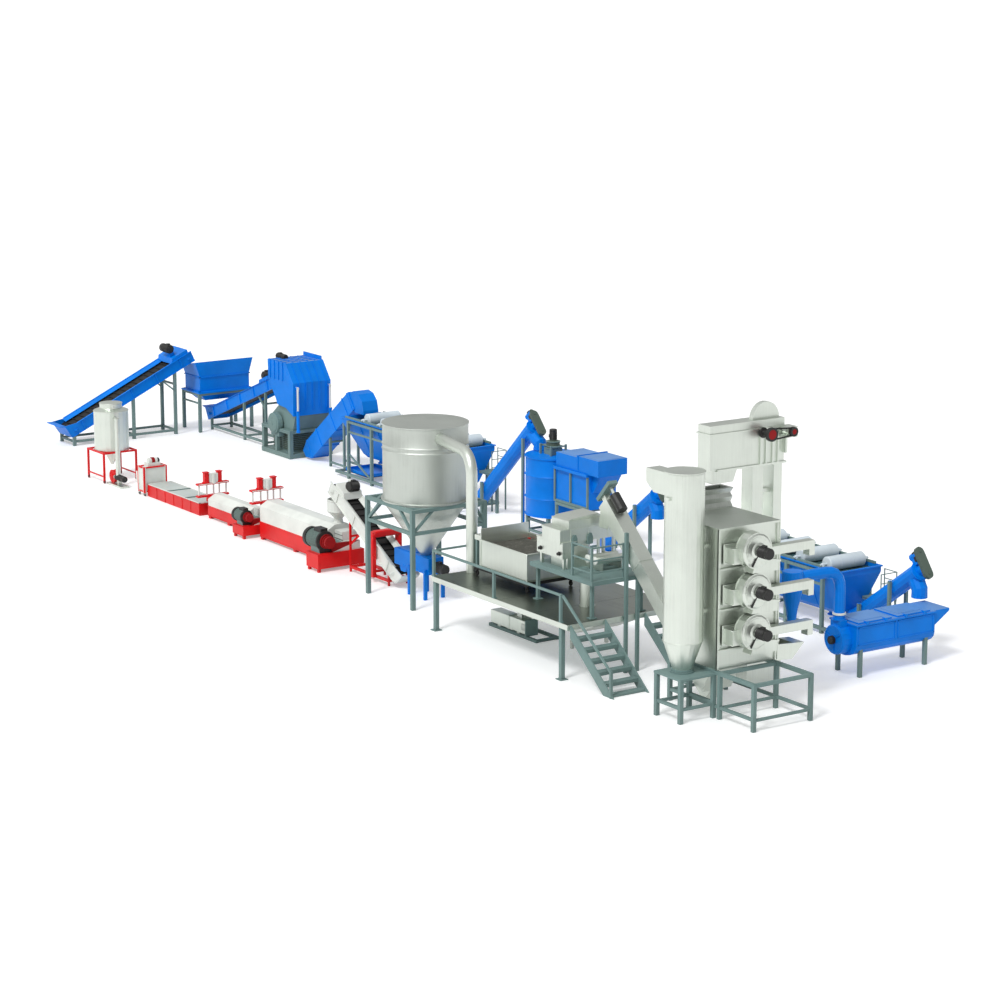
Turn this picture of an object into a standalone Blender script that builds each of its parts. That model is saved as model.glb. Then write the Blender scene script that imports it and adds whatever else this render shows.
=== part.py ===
"""Plastic washing and pelletizing line, built as a model at half the real size.

Every length below is a size of the real line in metres, and MODEL_SCALE turns it into
the model's own metres where the meshes are made. X runs along the line towards the
drying tower, Y runs across it from the pelletizing row to the washing row, Z is up.
"""
from math import atan2, cos, hypot, pi, radians, sin, tan

import bmesh
import bpy
from mathutils import Vector

MODEL_SCALE = 0.5          # the model is half as large as the real line
CLEAR = 0.0006             # gap between pieces that touch: 0.3 mm on the model
SHEET = 0.04               # plate of troughs, tanks and hoppers
ROUND_SIDES = 10           # sides of small round pieces
VESSEL_SIDES = 24          # sides of tanks, silos and cyclones
POST = 0.15                # square tube of the legs
RAIL = 0.11                # square tube of the ties between the legs
BRACE = 0.07               # square tube of diagonal braces
RAIL_LIFT = 0.22           # height of the lowest ties above the floor

WASH_Y = 4.75              # centre line of the washing row
FEED_X = -29.5             # centre line of the infeed conveyor

INFEED_TAIL_Y = -4.0
INFEED_RUN = 7.15
INFEED_SLOPE = radians(25.2)
INFEED_TAIL_Z = 0.47
INFEED_WIDTH = 1.60
BELT_SIDE = 0.56           # height of a conveyor's side plates, square to its slope
BELT_BED = 0.16            # thickness of the bed the belt runs round
BELT_GAP = 0.30            # from a conveyor's end to the turn of its belt
BELT_THICK = 0.03
LIP_BACK = 0.14            # how far a conveyor's tail plate leans back
LIP_UP = 0.74              # top of the tail plate, square to the slope

BUNKER_X = -29.3
BUNKER_Y = 4.77
BUNKER_WIDTH = 1.65
BUNKER_LENGTH = 2.95
BUNKER_BEAM_Z = 2.07
BUNKER_SEAM_Z = 2.92
BUNKER_TOP_Z = 3.74           # of the wall towards the shredder
BUNKER_BACK_Z = 3.44          # of the wall opposite

FEED_TAIL_X = -29.2
FEED_RUN = 7.35
FEED_SLOPE = radians(20.8)
FEED_TAIL_Z = 0.48
FEED_WIDTH = 1.22

SHREDDER_X = -20.8
SHREDDER_LENGTH = 2.90
SHREDDER_WIDTH = 2.50
SHREDDER_BENCH_Z = 1.44
SHREDDER_HOUSING_Z = 2.62
SHREDDER_TOP_Z = 4.83

SCREW_WASHER_X = -18.96
SCREW_WASHER_LENGTH = 5.46
SCREW_WASHER_SLOPE = radians(36.8)
SCREW_WASHER_LOW_Z = 0.38
SCREW_WASHER_HALF = 0.48

TANK_LENGTH = 10.1
TANK_WIDTH = 2.20
TANK_1_X = -14.4
TANK_1_RIM_Z = 2.95
TANK_2_X = 12.4
TANK_2_RIM_Z = 2.55
TANK_DEPTH = 1.90
TANK_WALL = 0.25           # upright part of the tanks' walls, below the rim
DRUM_RADIUS = 0.27
DRUM_COUNT = 6

SCREW_RADIUS = 0.34
GUARD_RADIUS = 0.20        # round ends of a belt guard
GUARD_UP = 0.62            # its upper and lower centres, from the screw's axis
GUARD_DOWN = -0.28
SCREW_2_X = -3.60
SCREW_2_RUN = 4.13
SCREW_2_LOW_Z = 0.80
SCREW_2_RISE = 3.87

WASH_DRUM_X = 1.99
WASH_DRUM_RADIUS = 1.22
WASH_DRUM_LOW_Z = 1.0
WASH_DRUM_TOP_Z = 3.62

BOX_X = 3.3
BOX_LENGTH = 2.42
BOX_WIDTH = 1.44
BOX_LOW_Z = 1.86
BOX_TOP_Z = 3.45
LID_TOP_Z = 4.15

SCREW_3_X = 6.3
SCREW_3_RUN = 3.4
SCREW_3_LOW_Z = 0.55
SCREW_3_RISE = 2.6

SCREW_4_X = 22.6
SCREW_4_RUN = 3.3
SCREW_4_LOW_Z = 0.75
SCREW_4_RISE = 2.4

DEWATERER_X = 26.7
DEWATERER_Y = 0.35
DEWATERER_LENGTH = 3.8
DEWATERER_WIDTH = 1.45
DEWATERER_LOW_Z = 0.76
DEWATERER_TOP_Z = 2.02
DUCT_OFFSET = -0.05        # axis of the fan and its duct, from the machine's middle

DRYER_X = 25.7
DRYER_FACE_X = 28.5
DRYER_Y = -6.93
DRYER_WIDTH = 2.7
DRYER_LOW_Z = 1.7
DRYER_TOP_Z = 6.7
DRYER_TIERS = 3

CYCLONE_X = 27.585
CYCLONE_Y = -7.71
CYCLONE_RADIUS = 0.70
CYCLONE_OUTLET_RADIUS = 0.36
CYCLONE_TOP_Z = 8.68
CYCLONE_CONE_Z = 2.72
TABLE_TOP_Z = 1.60

ELEVATOR_X = 25.66
ELEVATOR_WIDTH = 0.68
ELEVATOR_Y = -3.2
ELEVATOR_HEAD_Z = 8.1
ELEVATOR_TOP_Z = 9.7

SORTING_X = 26.55
SORTING_Y = -5.68
SORTING_Z = 0.45
SORTING_SLOPE = radians(42.5)
SORTING_HALF = 0.30
SORTING_LENGTH = 8.3

DECK_Z = 2.15
DECK_X0 = 12.95
DECK_X1 = 22.0
DECK_Y0 = -8.62
DECK_Y1 = -3.43
DECK_THICK = 0.2
RAIL_HEIGHT = 1.05
STAIR_RUN = 2.66
STAIR_WIDTH = 1.6
STAIR_STEPS = 6
UPPER_Z = 3.6

SILO_X = 8.25
SILO_Y = -5.9
SILO_RADIUS = 1.73
SILO_TOP_Z = 7.15
SILO_FRAME = 3.56
SILO_FRAME_Z = 4.07
SILO_CONE_TIP_Z = 1.72

EXTRUDER_Y = -5.85
BATH_X0 = -15.4
BATH_X1 = -10.2
SMALL_SILO_X = -20.1
SMALL_SILO_Y = -6.0

BLUE = ("blue_paint", (0.0, 0.16, 0.72, 1.0), 0.4, 0.0)
GREY = ("grey_paint", (0.10, 0.15, 0.145, 1.0), 0.5, 0.0)
STEEL = ("stainless_steel", (0.72, 0.72, 0.68, 1.0), 0.3, 1.0)
RED = ("red_paint", (0.72, 0.01, 0.01, 1.0), 0.4, 0.0)
WHITE = ("white_paint", (0.82, 0.82, 0.78, 1.0), 0.4, 0.0)
BLACK = ("black_rubber", (0.02, 0.02, 0.02, 1.0), 0.7, 0.0)
PALE = ("pale_drum", (0.66, 0.74, 0.80, 1.0), 0.4, 0.0)


def material(spec):
    """Return the Principled material of a (name, colour, roughness, metallic) spec."""
    name, colour, roughness, metallic = spec
    found = bpy.data.materials.get(name)
    if found:
        return found
    made = bpy.data.materials.new(name)
    made.use_nodes = True
    shader = made.node_tree.nodes["Principled BSDF"]
    shader.inputs["Base Color"].default_value = colour
    shader.inputs["Roughness"].default_value = roughness
    shader.inputs["Metallic"].default_value = metallic
    return made


# Solids: each helper returns (points, faces), in real metres

def loft(rings, closed=False):
    """Solid through rings with equal numbers of points; closed joins last to first."""
    count = len(rings[0])
    points = [point for ring in rings for point in ring]
    faces = []
    pairs = len(rings) if closed else len(rings) - 1
    for low in range(pairs):
        high = (low + 1) % len(rings)
        for i in range(count):
            j = (i + 1) % count
            faces.append((low * count + i, low * count + j, high * count + j, high * count + i))
    if not closed:
        faces.append(tuple(range(count))[::-1])
        faces.append(tuple(range((len(rings) - 1) * count, len(rings) * count)))
    return points, faces


def box(x, y, z):
    """Box from three (low, high) pairs."""
    return loft([[(x[0], y[0], h), (x[1], y[0], h), (x[1], y[1], h), (x[0], y[1], h)] for h in z])


def prism(outline, axis, span):
    """Extrude an outline along an axis; its points are the other two coordinates in order."""
    place = {"x": lambda a, b, c: (c, a, b), "y": lambda a, b, c: (a, c, b), "z": lambda a, b, c: (a, b, c)}
    return loft([[place[axis](a, b, c) for a, b in outline] for c in span])


def bar(start, end, width, depth=None):
    """Square bar between two points; depth is its size towards the vertical."""
    depth = depth or width
    start, end = Vector(start), Vector(end)
    along = (end - start).normalized()
    side = along.cross(Vector((0, 0, 1)))
    side = side.normalized() if side.length > 1e-6 else Vector((0, 1, 0))
    up = side.cross(along)
    corners = [side * a * width / 2 + up * b * depth / 2 for a, b in ((-1, -1), (1, -1), (1, 1), (-1, 1))]
    return loft([[tuple(centre + corner) for corner in corners] for centre in (start, end)])


def circle(centre, radius, axis, sides=ROUND_SIDES, half_step=0.0):
    """Points of a circle about a coordinate axis."""
    ring = []
    for i in range(sides):
        turn = 2 * pi * (i + half_step) / sides
        a, b = radius * cos(turn), radius * sin(turn)
        offset = {"x": (0, a, b), "y": (b, 0, a), "z": (a, b, 0)}[axis]
        ring.append(tuple(c + o for c, o in zip(centre, offset)))
    return ring


def turned(at, axis, profile, sides=ROUND_SIDES, closed=False):
    """Turned solid: profile holds (radius, height along the axis) from one end to the other."""
    rings = []
    for radius, height in profile:
        centre = list(at)
        centre["xyz".index(axis)] += height
        rings.append(circle(centre, radius, axis, sides))
    return loft(rings, closed)


def pipe(path, radius, sides=ROUND_SIDES):
    """Round pipe along a list of points."""
    path = [Vector(point) for point in path]
    rings = []
    side = None
    for i, centre in enumerate(path):
        before = path[max(i - 1, 0)]
        after = path[min(i + 1, len(path) - 1)]
        along = (after - before).normalized()
        if side is None:
            side = along.cross(Vector((0, 0, 1)))
            if side.length < 1e-6:
                side = Vector((1, 0, 0))
        side = (side - along * side.dot(along)).normalized()
        up = along.cross(side)
        ring = [centre + side * radius * cos(2 * pi * k / sides) + up * radius * sin(2 * pi * k / sides)
                for k in range(sides)]
        rings.append([tuple(point) for point in ring])
    return loft(rings)


def elbow(corner, before, after, radius, steps=4):
    """Points of a rounded corner between two straight runs."""
    corner = Vector(corner)
    to_before = (Vector(before) - corner).normalized()
    to_after = (Vector(after) - corner).normalized()
    points = []
    for i in range(steps + 1):
        t = i / steps
        points.append(tuple(corner + to_before * radius * (1 - t) ** 2 + to_after * radius * t ** 2))
    return points


def rectangle(x, y, z):
    """Ring of four corners at one height."""
    return [(x[0], y[0], z), (x[1], y[0], z), (x[1], y[1], z), (x[0], y[1], z)]


def inset(pair, amount):
    """A (low, high) pair moved inwards by an amount."""
    return (pair[0] + amount, pair[1] - amount)


def hopper(levels, wall, floor=False):
    """Sheet hopper through (x, y, z) rectangles from bottom to top, open at the top."""
    outer = [rectangle(x, y, z) for x, y, z in levels]
    inner = [rectangle(inset(x, wall), inset(y, wall), z) for x, y, z in levels]
    if floor:
        x, y, z = levels[0]
        inner[0] = rectangle(inset(x, wall), inset(y, wall), z + wall)
    return loft(outer + inner[::-1], closed=not floor)


def slope_map(start, slope):
    """Function from (along, square to the slope) to (x, z) for an inclined machine."""
    def place(along, up):
        return (start[0] + along * cos(slope) - up * sin(slope), start[1] + along * sin(slope) + up * cos(slope))
    return place


sorting_at = slope_map((0, SORTING_Z), SORTING_SLOPE)


# Objects: the meshes are made here, in model metres

def make_mesh(name, solids, spec, smooth=False):
    """Mesh of one or more solids, scaled to the model, with its faces pointing out."""
    mesh = bpy.data.meshes.new(name)
    points, faces = [], []
    for solid_points, solid_faces in solids:
        first = len(points)
        points += [tuple(MODEL_SCALE * value for value in point) for point in solid_points]
        faces += [tuple(index + first for index in face) for face in solid_faces]
    mesh.from_pydata(points, [], faces)
    work = bmesh.new()
    work.from_mesh(mesh)
    bmesh.ops.recalc_face_normals(work, faces=work.faces)
    work.to_mesh(mesh)
    work.free()
    mesh.materials.append(material(spec))
    if smooth:
        mesh.shade_smooth()
        mesh.set_sharp_from_angle(angle=radians(35))
    return mesh


def fuse_collection():
    """Empty collection that lets a Boolean join a mesh with itself."""
    return bpy.data.collections.get("fuse") or bpy.data.collections.new("fuse")


def piece(name, solids, spec, station, cuts=(), smooth=False):
    """One named object: its solids fused into one body, then cut by its cutters."""
    made = bpy.data.objects.new(name, make_mesh(name, solids, spec, smooth))
    bpy.context.scene.collection.objects.link(made)
    made.parent = station
    if len(solids) > 1:
        join = made.modifiers.new("fuse", "BOOLEAN")
        join.operation = "UNION"
        join.solver = "EXACT"
        join.operand_type = "COLLECTION"
        join.collection = fuse_collection()
        join.use_self = True
    if cuts:
        cutter = bpy.data.objects.new(name + "_cutter", make_mesh(name + "_cutter", cuts, spec))
        bpy.context.scene.collection.objects.link(cutter)
        cutter.parent = station
        cutter.hide_render = True
        cutter.display_type = "WIRE"
        carve = made.modifiers.new("cut", "BOOLEAN")
        carve.operation = "DIFFERENCE"
        carve.solver = "EXACT"
        carve.object = cutter
        carve.use_self = len(cuts) > 1
    return made


def station(name, x, y, turn=0.0):
    """Empty at a machine's place on the floor; its pieces are modelled around it."""
    empty = bpy.data.objects.new(name, None)
    bpy.context.scene.collection.objects.link(empty)
    empty.location = (x * MODEL_SCALE, y * MODEL_SCALE, 0)
    empty.rotation_euler = (0, 0, radians(turn))
    empty.parent = bpy.data.objects["washing_line"]
    return empty


def post(x, y, top, width=POST):
    """Upright post whose top may follow a sloping line: top is a height or a function of x."""
    left, right = x - width / 2, x + width / 2
    if callable(top):
        outline = [(left, 0), (right, 0), (right, top(right)), (left, top(left))]
        return prism(outline, "y", (y - width / 2, y + width / 2))
    return box((left, right), (y - width / 2, y + width / 2), (0, top))


def ties(xs, ys, z, width=RAIL):
    """Level ties along both sides and across at each post row."""
    made = [bar((xs[0], y, z), (xs[-1], y, z), width) for y in ys]
    made += [bar((x, ys[0], z), (x, ys[-1], z), width * 0.9) for x in xs]
    return made


def motor(at, axis, radius, length, way=1):
    """Geared motor: a finned body with a smaller end cap, along a coordinate axis."""
    profile = [(radius * 0.7, 0), (radius * 0.7, way * length * 0.12), (radius, way * length * 0.12),
               (radius, way * length * 0.85), (radius * 0.8, way * length)]
    return turned(at, axis, profile)


# Conveyors and screws

def belt_conveyor(prefix, place, run, slope, tail_z, width, legs, leg_width, colours, drive_at=0.8, motor_up=0.35,
                  lip=(LIP_BACK, LIP_UP), flare=0.25):
    """Inclined trough with its belt loop, drive and post frame, along local x."""
    at = slope_map((0, tail_z), slope)
    length = run / cos(slope)
    half = width / 2
    side = SHEET
    lip_back, lip_up = lip
    solids = []
    for y in (-half, half - side):
        outline = [at(0, 0), at(length, 0), at(length, BELT_SIDE), at(0.5, BELT_SIDE), at(-lip_back, lip_up)]
        solids.append(prism(outline, "y", (y, y + side)))
    bed_low = BELT_SIDE * 0.33
    drum = BELT_BED / 2
    axis = bed_low + drum

    def loop(grow):
        points = []
        for centre, start in ((length - BELT_GAP, -90), (BELT_GAP, 90)):
            for i in range(7):
                turn = radians(start + 180 * i / 6)
                points.append(at(centre + (drum + grow) * cos(turn), axis + (drum + grow) * sin(turn)))
        return points

    solids.append(prism(loop(0), "y", (-half + side / 2, half - side / 2)))
    back = [at(-0.05, 0.0), at(0.0, 0.0), at(-lip_back + 0.04, lip_up - 0.02)]
    if flare:
        back += [at(-lip_back - flare, lip_up + flare / 2), at(-lip_back - flare - 0.03, lip_up + flare / 2 - 0.03)]
    back.append(at(-lip_back - 0.01, lip_up - 0.05))
    solids.append(prism(back, "y", (-half + side / 3, half - side / 3)))
    ribs = int(length / 1.45)
    for i in range(ribs):
        along = (i + 0.5) * length / ribs
        rib = [at(along - 0.03, 0.05), at(along + 0.03, 0.05), at(along + 0.03, BELT_SIDE - 0.04),
               at(along - 0.03, BELT_SIDE - 0.04)]
        for y in (-half - 0.05, half - side / 2):
            solids.append(prism(rib, "y", (y, y + 0.05 + side / 2)))
    cover_from, cover_to = drive_at * length, min(drive_at + 0.14, 0.98) * length
    cover = [at(cover_from, BELT_SIDE - 0.05), at(cover_to, BELT_SIDE - 0.05), at(cover_to, BELT_SIDE + 0.2),
             at(cover_from + 0.15, BELT_SIDE + 0.2)]
    solids.append(prism(cover, "y", (-half + 0.01, half - 0.01)))
    motor_x, motor_z = at(cover_from + 0.35, BELT_SIDE + motor_up)
    seat = [at(cover_from + 0.2, BELT_SIDE + 0.1), at(cover_from + 0.5, BELT_SIDE + 0.1),
            at(cover_from + 0.5, BELT_SIDE + motor_up), at(cover_from + 0.2, BELT_SIDE + motor_up)]
    solids.append(prism(seat, "y", (-half * 0.6, -half * 0.1)))
    solids.append(motor((motor_x, -half * 0.75, motor_z), "y", 0.21, width * 0.55))
    piece(prefix + "_trough", solids, colours, place)
    y = (-half + side + CLEAR * 3, half - side - CLEAR * 3)
    outer = [[(x, level, z) for x, z in loop(CLEAR + BELT_THICK)] for level in y]
    inner = [[(x, level, z) for x, z in loop(CLEAR)] for level in y[::-1]]
    piece(prefix + "_belt", [loft(outer + inner, closed=True)], BLACK, place)

    def underside(x):
        return tail_z + x * tan(slope) - CLEAR

    rows = (-half + leg_width / 2 - 0.03, half - leg_width / 2 + 0.03)
    frame = [post(x, y, underside, leg_width) for x in legs for y in rows]
    frame += ties(legs, rows, RAIL_LIFT, RAIL)
    brace_low = underside(legs[-1]) - 0.95
    for y in rows:
        frame.append(bar((legs[-1], y, brace_low), (legs[-1] - 0.7, y, underside(legs[-1] - 0.7) - 0.06), BRACE))
    frame.append(bar((legs[-1], rows[0], underside(legs[-1]) - 0.6), (legs[-1], rows[1], underside(legs[-1]) - 0.6), RAIL * 0.8))
    return frame


def screw_conveyor(name, place, run, rise, low_z, spout, legs, guard_up=0.0):
    """Inclined screw tube with a foot, a belt guard and motor at its head and a spout down."""
    slope = atan2(rise, run)
    length = hypot(run, rise)
    at = slope_map((0, low_z), slope)
    radius = SCREW_RADIUS

    def inline(start, end, size, up=0.0, sides=ROUND_SIDES):
        (ax, az), (bx, bz) = at(start, up), at(end, up)
        return pipe([(ax, 0, az), (bx, 0, bz)], size, sides)

    solids = [inline(-radius, length, radius, 0, 12),
              inline(length - 0.3, length + 0.22, radius * 0.55),
              inline(length + 0.2, length + 0.33, radius * 0.3)]
    guard = []
    for depth in (0.26, 0.40):
        ring = []
        for middle, start in ((GUARD_UP, 0), (GUARD_DOWN, 180)):
            for i in range(7):
                turn = radians(start + 180 * i / 6)
                x, z = at(length + depth, guard_up + middle + GUARD_RADIUS * sin(turn))
                ring.append((x, GUARD_RADIUS * cos(turn), z))
        guard.append(ring)
    solids.append(loft(guard))
    motor_up = radius + 0.25
    solids.append(inline(length - 0.15, length + 0.3, 0.15, motor_up))
    foot = [at(along, radius + up) for along, up in ((length - 0.1, -0.1), (length + 0.12, -0.1), (length + 0.12, 0.2), (length - 0.1, 0.2))]
    solids.append(prism(foot, "y", (-0.12, 0.12)))
    spout_x, spout_z = at(length - radius * 1.1, 0)
    reach, drop = spout
    solids.append(pipe([(spout_x, 0, spout_z), (spout_x + reach, 0, spout_z - drop * 0.6),
                        (spout_x + reach, 0, spout_z - drop)], radius * 0.92, 12))
    for along, sides, above in legs:
        leg_x, leg_z = at(along, 0)
        for y in sides:
            solids.append(box((leg_x - 0.06, leg_x + 0.06), (y - 0.06, y + 0.06), (0, leg_z + above)))
        if len(sides) > 1:
            solids.append(bar((leg_x, sides[0], leg_z - 0.05), (leg_x, sides[-1], leg_z - 0.05), 0.1))
    piece(name, solids, BLUE, place)


def infeed_conveyor():
    """Belt conveyor that lifts bales into the bunker; it runs across the line."""
    place = station("infeed", FEED_X, INFEED_TAIL_Y, 90)
    legs = (0.08, 3.5, 5.95)
    frame = belt_conveyor("infeed", place, INFEED_RUN, INFEED_SLOPE, INFEED_TAIL_Z, INFEED_WIDTH,
                                  legs, POST, BLUE, 0.84, 0.62)
    piece("infeed_frame", frame, GREY, place)


def bunker():
    """Open hopper over the feed conveyor's tail."""
    place = station("bunker_station", BUNKER_X, BUNKER_Y)
    x = (-BUNKER_WIDTH / 2, BUNKER_WIDTH / 2)
    y = (-BUNKER_LENGTH / 2, BUNKER_LENGTH / 2)
    funnel_z = BUNKER_BEAM_Z - 0.45
    ledge = 0.17
    spread = inset(x, -ledge), inset(y, -ledge)
    levels = [(inset(x, 0.3), inset(y, 0.45), funnel_z),
              (x, y, BUNKER_BEAM_Z),
              (x, y, BUNKER_BEAM_Z + CLEAR),
              (*spread, BUNKER_BEAM_Z + CLEAR),
              (*spread, BUNKER_BEAM_Z + 0.07),
              (x, y, BUNKER_BEAM_Z + 0.08),
              (x, y, BUNKER_SEAM_Z)]
    lean_back = (BUNKER_TOP_Z - BUNKER_BACK_Z) / BUNKER_WIDTH

    def rim(wall):
        """Top edge, lower at the back, with both ends flared out."""
        points = []
        for a, b, side, flare in ((x[0] + wall, y[0] + wall, -1, 0.34), (x[1] - wall, y[0] + wall, -1, 0.34),
                                  (x[1] - wall, y[1] - wall, 1, 0.30), (x[0] + wall, y[1] - wall, 1, 0.30)):
            z = BUNKER_TOP_Z - lean_back * (x[1] - a)
            points.append((a, b + side * flare * (z - BUNKER_SEAM_Z), z))
        return points

    outer = [rectangle(*level) for level in levels] + [rim(0.0)]
    inner = [rectangle(inset(a, SHEET), inset(b, SHEET), h) for a, b, h in (levels[0], levels[1], levels[6])] + [rim(SHEET)]
    piece("bunker", [loft(outer + inner[::-1], closed=True)], BLUE, place)
    beam = 0.12
    beam_gap = CLEAR + POST / 2
    xs = (x[0] - beam_gap, x[1] + beam_gap)
    ys = (y[0] - beam_gap, y[1] + beam_gap)
    frame = [post(a, b, BUNKER_BEAM_Z - 0.004, POST) for a in xs for b in ys]
    level = BUNKER_BEAM_Z - beam / 2
    frame += [bar((xs[0], b, level), (xs[1], b, level), beam * 0.97, beam) for b in ys]
    frame += [bar((a, ys[0], level), (a, ys[1], level), beam * 0.95, beam * 0.98) for a in xs]
    frame += [bar((xs[0], b, 1.55), (xs[1], b, 1.55), 0.08) for b in ys]
    piece("bunker_frame", frame, GREY, place)


def feed_conveyor():
    """Belt conveyor from the bunker up to the shredder hood."""
    place = station("feed", FEED_TAIL_X, WASH_Y)
    legs = (0.35, 3.95, 6.25)
    frame = belt_conveyor("feed", place, FEED_RUN, FEED_SLOPE, FEED_TAIL_Z, FEED_WIDTH,
                                  legs, POST * 0.8, BLUE, 0.78)
    piece("feed_frame", frame, GREY, place)


def shredder():
    """Shredder on a braced bench, with flywheel guards, housing and a leaning feed hood."""
    place = station("shredder", SHREDDER_X, WASH_Y)
    x = (-SHREDDER_LENGTH / 2, SHREDDER_LENGTH / 2)
    y = (-SHREDDER_WIDTH / 2, SHREDDER_WIDTH / 2)
    bench = SHREDDER_BENCH_Z
    base = [box(x, y, (0.02, 0.24)), box(inset(x, 0.01), inset(y, 0.01), (bench - 0.16, bench))]
    for a in (x[0] + 0.12, 0.0, x[1] - 0.12):
        for b in (y[0] + 0.12, y[1] - 0.12):
            base.append(box((a - 0.1, a + 0.1), (b - 0.1, b + 0.1), (0, bench - 0.05)))
    base.append(box(inset(x, 0.55), inset(y, 0.42), (0.1, bench + 0.02)))
    seam = [(x[1] + 0.16, 2.22), (x[1] - 0.55, 2.56), (x[0] + 1.45, SHREDDER_HOUSING_Z)]
    housing = [(x[0] + 0.55, bench - 0.02), (x[1] - 0.12, bench - 0.02)] + seam + [(x[0] + 0.55, bench + 0.5)]
    base.append(prism(housing, "y", (-0.98, 1.08)))
    for side in (-1, 1):
        wheel_y = side * 1.02
        base.append(turned((-0.05, wheel_y, 1.66), "y", [(0.53, side * 0.05), (0.53, side * 0.32), (0.47, side * 0.36)], 18))
        base.append(box((-0.45, 0.35), sorted((wheel_y - side * 0.1, wheel_y + side * 0.22)), (1.0, 1.7)))
    piece("shredder_base", base, GREY, place)
    lift = 2 * CLEAR
    hood = [(seam[0][0] + 0.04, seam[0][1] + lift), (x[1] + 0.23, 3.9), (x[1] - 0.50, SHREDDER_TOP_Z),
            (x[1] - 2.35, SHREDDER_TOP_Z), (x[1] - 2.3, 3.84), (x[1] - 1.57, 2.91), (seam[2][0] + 0.05, seam[2][1] + lift),
            (seam[1][0], seam[1][1] + lift)]
    solids = [prism(hood, "y", (-1.13, 1.05))]
    for k in range(4):
        along = x[1] - 2.1 + 0.42 * k
        solids.append(box((along, along + 0.05), (-1.17, 1.09), (3.9, SHREDDER_TOP_Z + 0.03)))
    for k in range(5):
        across = -0.82 + 0.4 * k
        rib = [(x[1] - 0.52, SHREDDER_TOP_Z - 0.02), (x[1] - 0.46, SHREDDER_TOP_Z + 0.01), (x[1] + 0.28, 3.9),
               (x[1] + 0.24, 2.5), (x[1] + 0.15, 2.5), (x[1] + 0.2, 3.88)]
        solids.append(prism(rib, "y", (across, across + 0.05)))
    solids.append(box((x[1] - 2.3, x[1] - 0.55), (0.93, 1.0), (SHREDDER_TOP_Z - 0.02, SHREDDER_TOP_Z + 0.2)))
    for across in (-0.98, 0.9):
        face = x[1] + 0.42
        solids.append(pipe([(face, across, 3.7), (face, across, 2.5)], 0.055, 8))
        solids.append(pipe([(face, across, 2.52), (face, across, 1.45)], 0.085, 8))
        solids.append(box((x[1] + 0.05, face + 0.05), (across - 0.05, across + 0.05), (3.62, 3.72)))
    piece("shredder_hood", solids, BLUE, place)


def screw_washer():
    """Square inclined screw washer with a rounded discharge elbow and hinged covers."""
    place = station("washer_station", SCREW_WASHER_X, WASH_Y)
    at = slope_map((0, SCREW_WASHER_LOW_Z), SCREW_WASHER_SLOPE)
    length = SCREW_WASHER_LENGTH
    half = SCREW_WASHER_HALF
    body = [at(-0.25, -0.15), at(0.2, -half), at(length, -half), at(length, half), at(0.3, half), at(-0.3, 0.25)]
    solids = [prism(body, "y", (-half, half))]
    for along in (1.5, 3.2, 4.7):
        rib = [at(along, -half - 0.03), at(along + 0.07, -half - 0.03), at(along + 0.07, half + 0.03), at(along, half + 0.03)]
        solids.append(prism(rib, "y", (-half - 0.03, half + 0.03)))
    hinge = at(length - 0.05, -half + 0.05)
    reach = 2 * half - 0.09
    arc = [(hinge[0] + reach * cos(radians(t)), hinge[1] + reach * sin(radians(t))) for t in range(124, -1, -31)]
    mouth_z = hinge[1] - 0.18
    discharge = [at(length - 0.4, -half + 0.05), at(length - 0.4, half - 0.04)] + arc
    discharge += [(hinge[0] + reach, mouth_z), (hinge[0] + 0.05, mouth_z), hinge]
    solids.append(prism(discharge, "y", (-half + 0.05, half - 0.05)))
    piece("screw_washer", solids, BLUE, place)


def wash_frame(name, place, rim_z, with_washer):
    """Post frame round a float tank, with a walkway at its far end."""
    length, half = TANK_LENGTH, TANK_WIDTH / 2 + POST / 2 + 0.02
    rows = (-half, half)
    posts = [0.75 + k * (length - 1.5) / 4 for k in range(5)]
    solids = [post(x, y, rim_z - 0.08, POST * 0.9) for x in posts for y in rows]
    start = -0.45
    end = length + 0.15
    for y in rows:
        solids.append(bar((start, y, 0.2), (end, y, 0.2), RAIL * 1.2))
        solids.append(bar((posts[0], y, rim_z - 0.14), (posts[-1], y, rim_z - 0.14), RAIL * 0.9))
        solids.append(bar((posts[0], y, rim_z - 0.62), (posts[-1], y, rim_z - 0.62), RAIL * 0.8))
        solids.append(bar((posts[0], y, 1.25), (posts[1] - 0.1, y, 0.3), BRACE))
    for x in (start + 0.08, posts[2], end - 0.08):
        solids.append(bar((x, rows[0], 0.2), (x, rows[1], 0.2), RAIL))
    if with_washer:
        def underside(x):
            along = x + TANK_1_X - SCREW_WASHER_X
            return SCREW_WASHER_LOW_Z + along * tan(SCREW_WASHER_SLOPE) - SCREW_WASHER_HALF / cos(SCREW_WASHER_SLOPE) - CLEAR

        for x in (-2.35, -1.0):
            for y in (-0.4, 0.4):
                solids.append(post(x, y, underside, RAIL))
            solids.append(bar((x, -0.4, underside(x) - 0.2), (x, 0.4, underside(x) - 0.2), 0.09))
        for y in (-0.4, 0.4):
            solids.append(bar((-2.35, y, RAIL_LIFT), (start + 0.1, y, RAIL_LIFT), 0.09))
    piece(name, solids, GREY, place)


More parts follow.
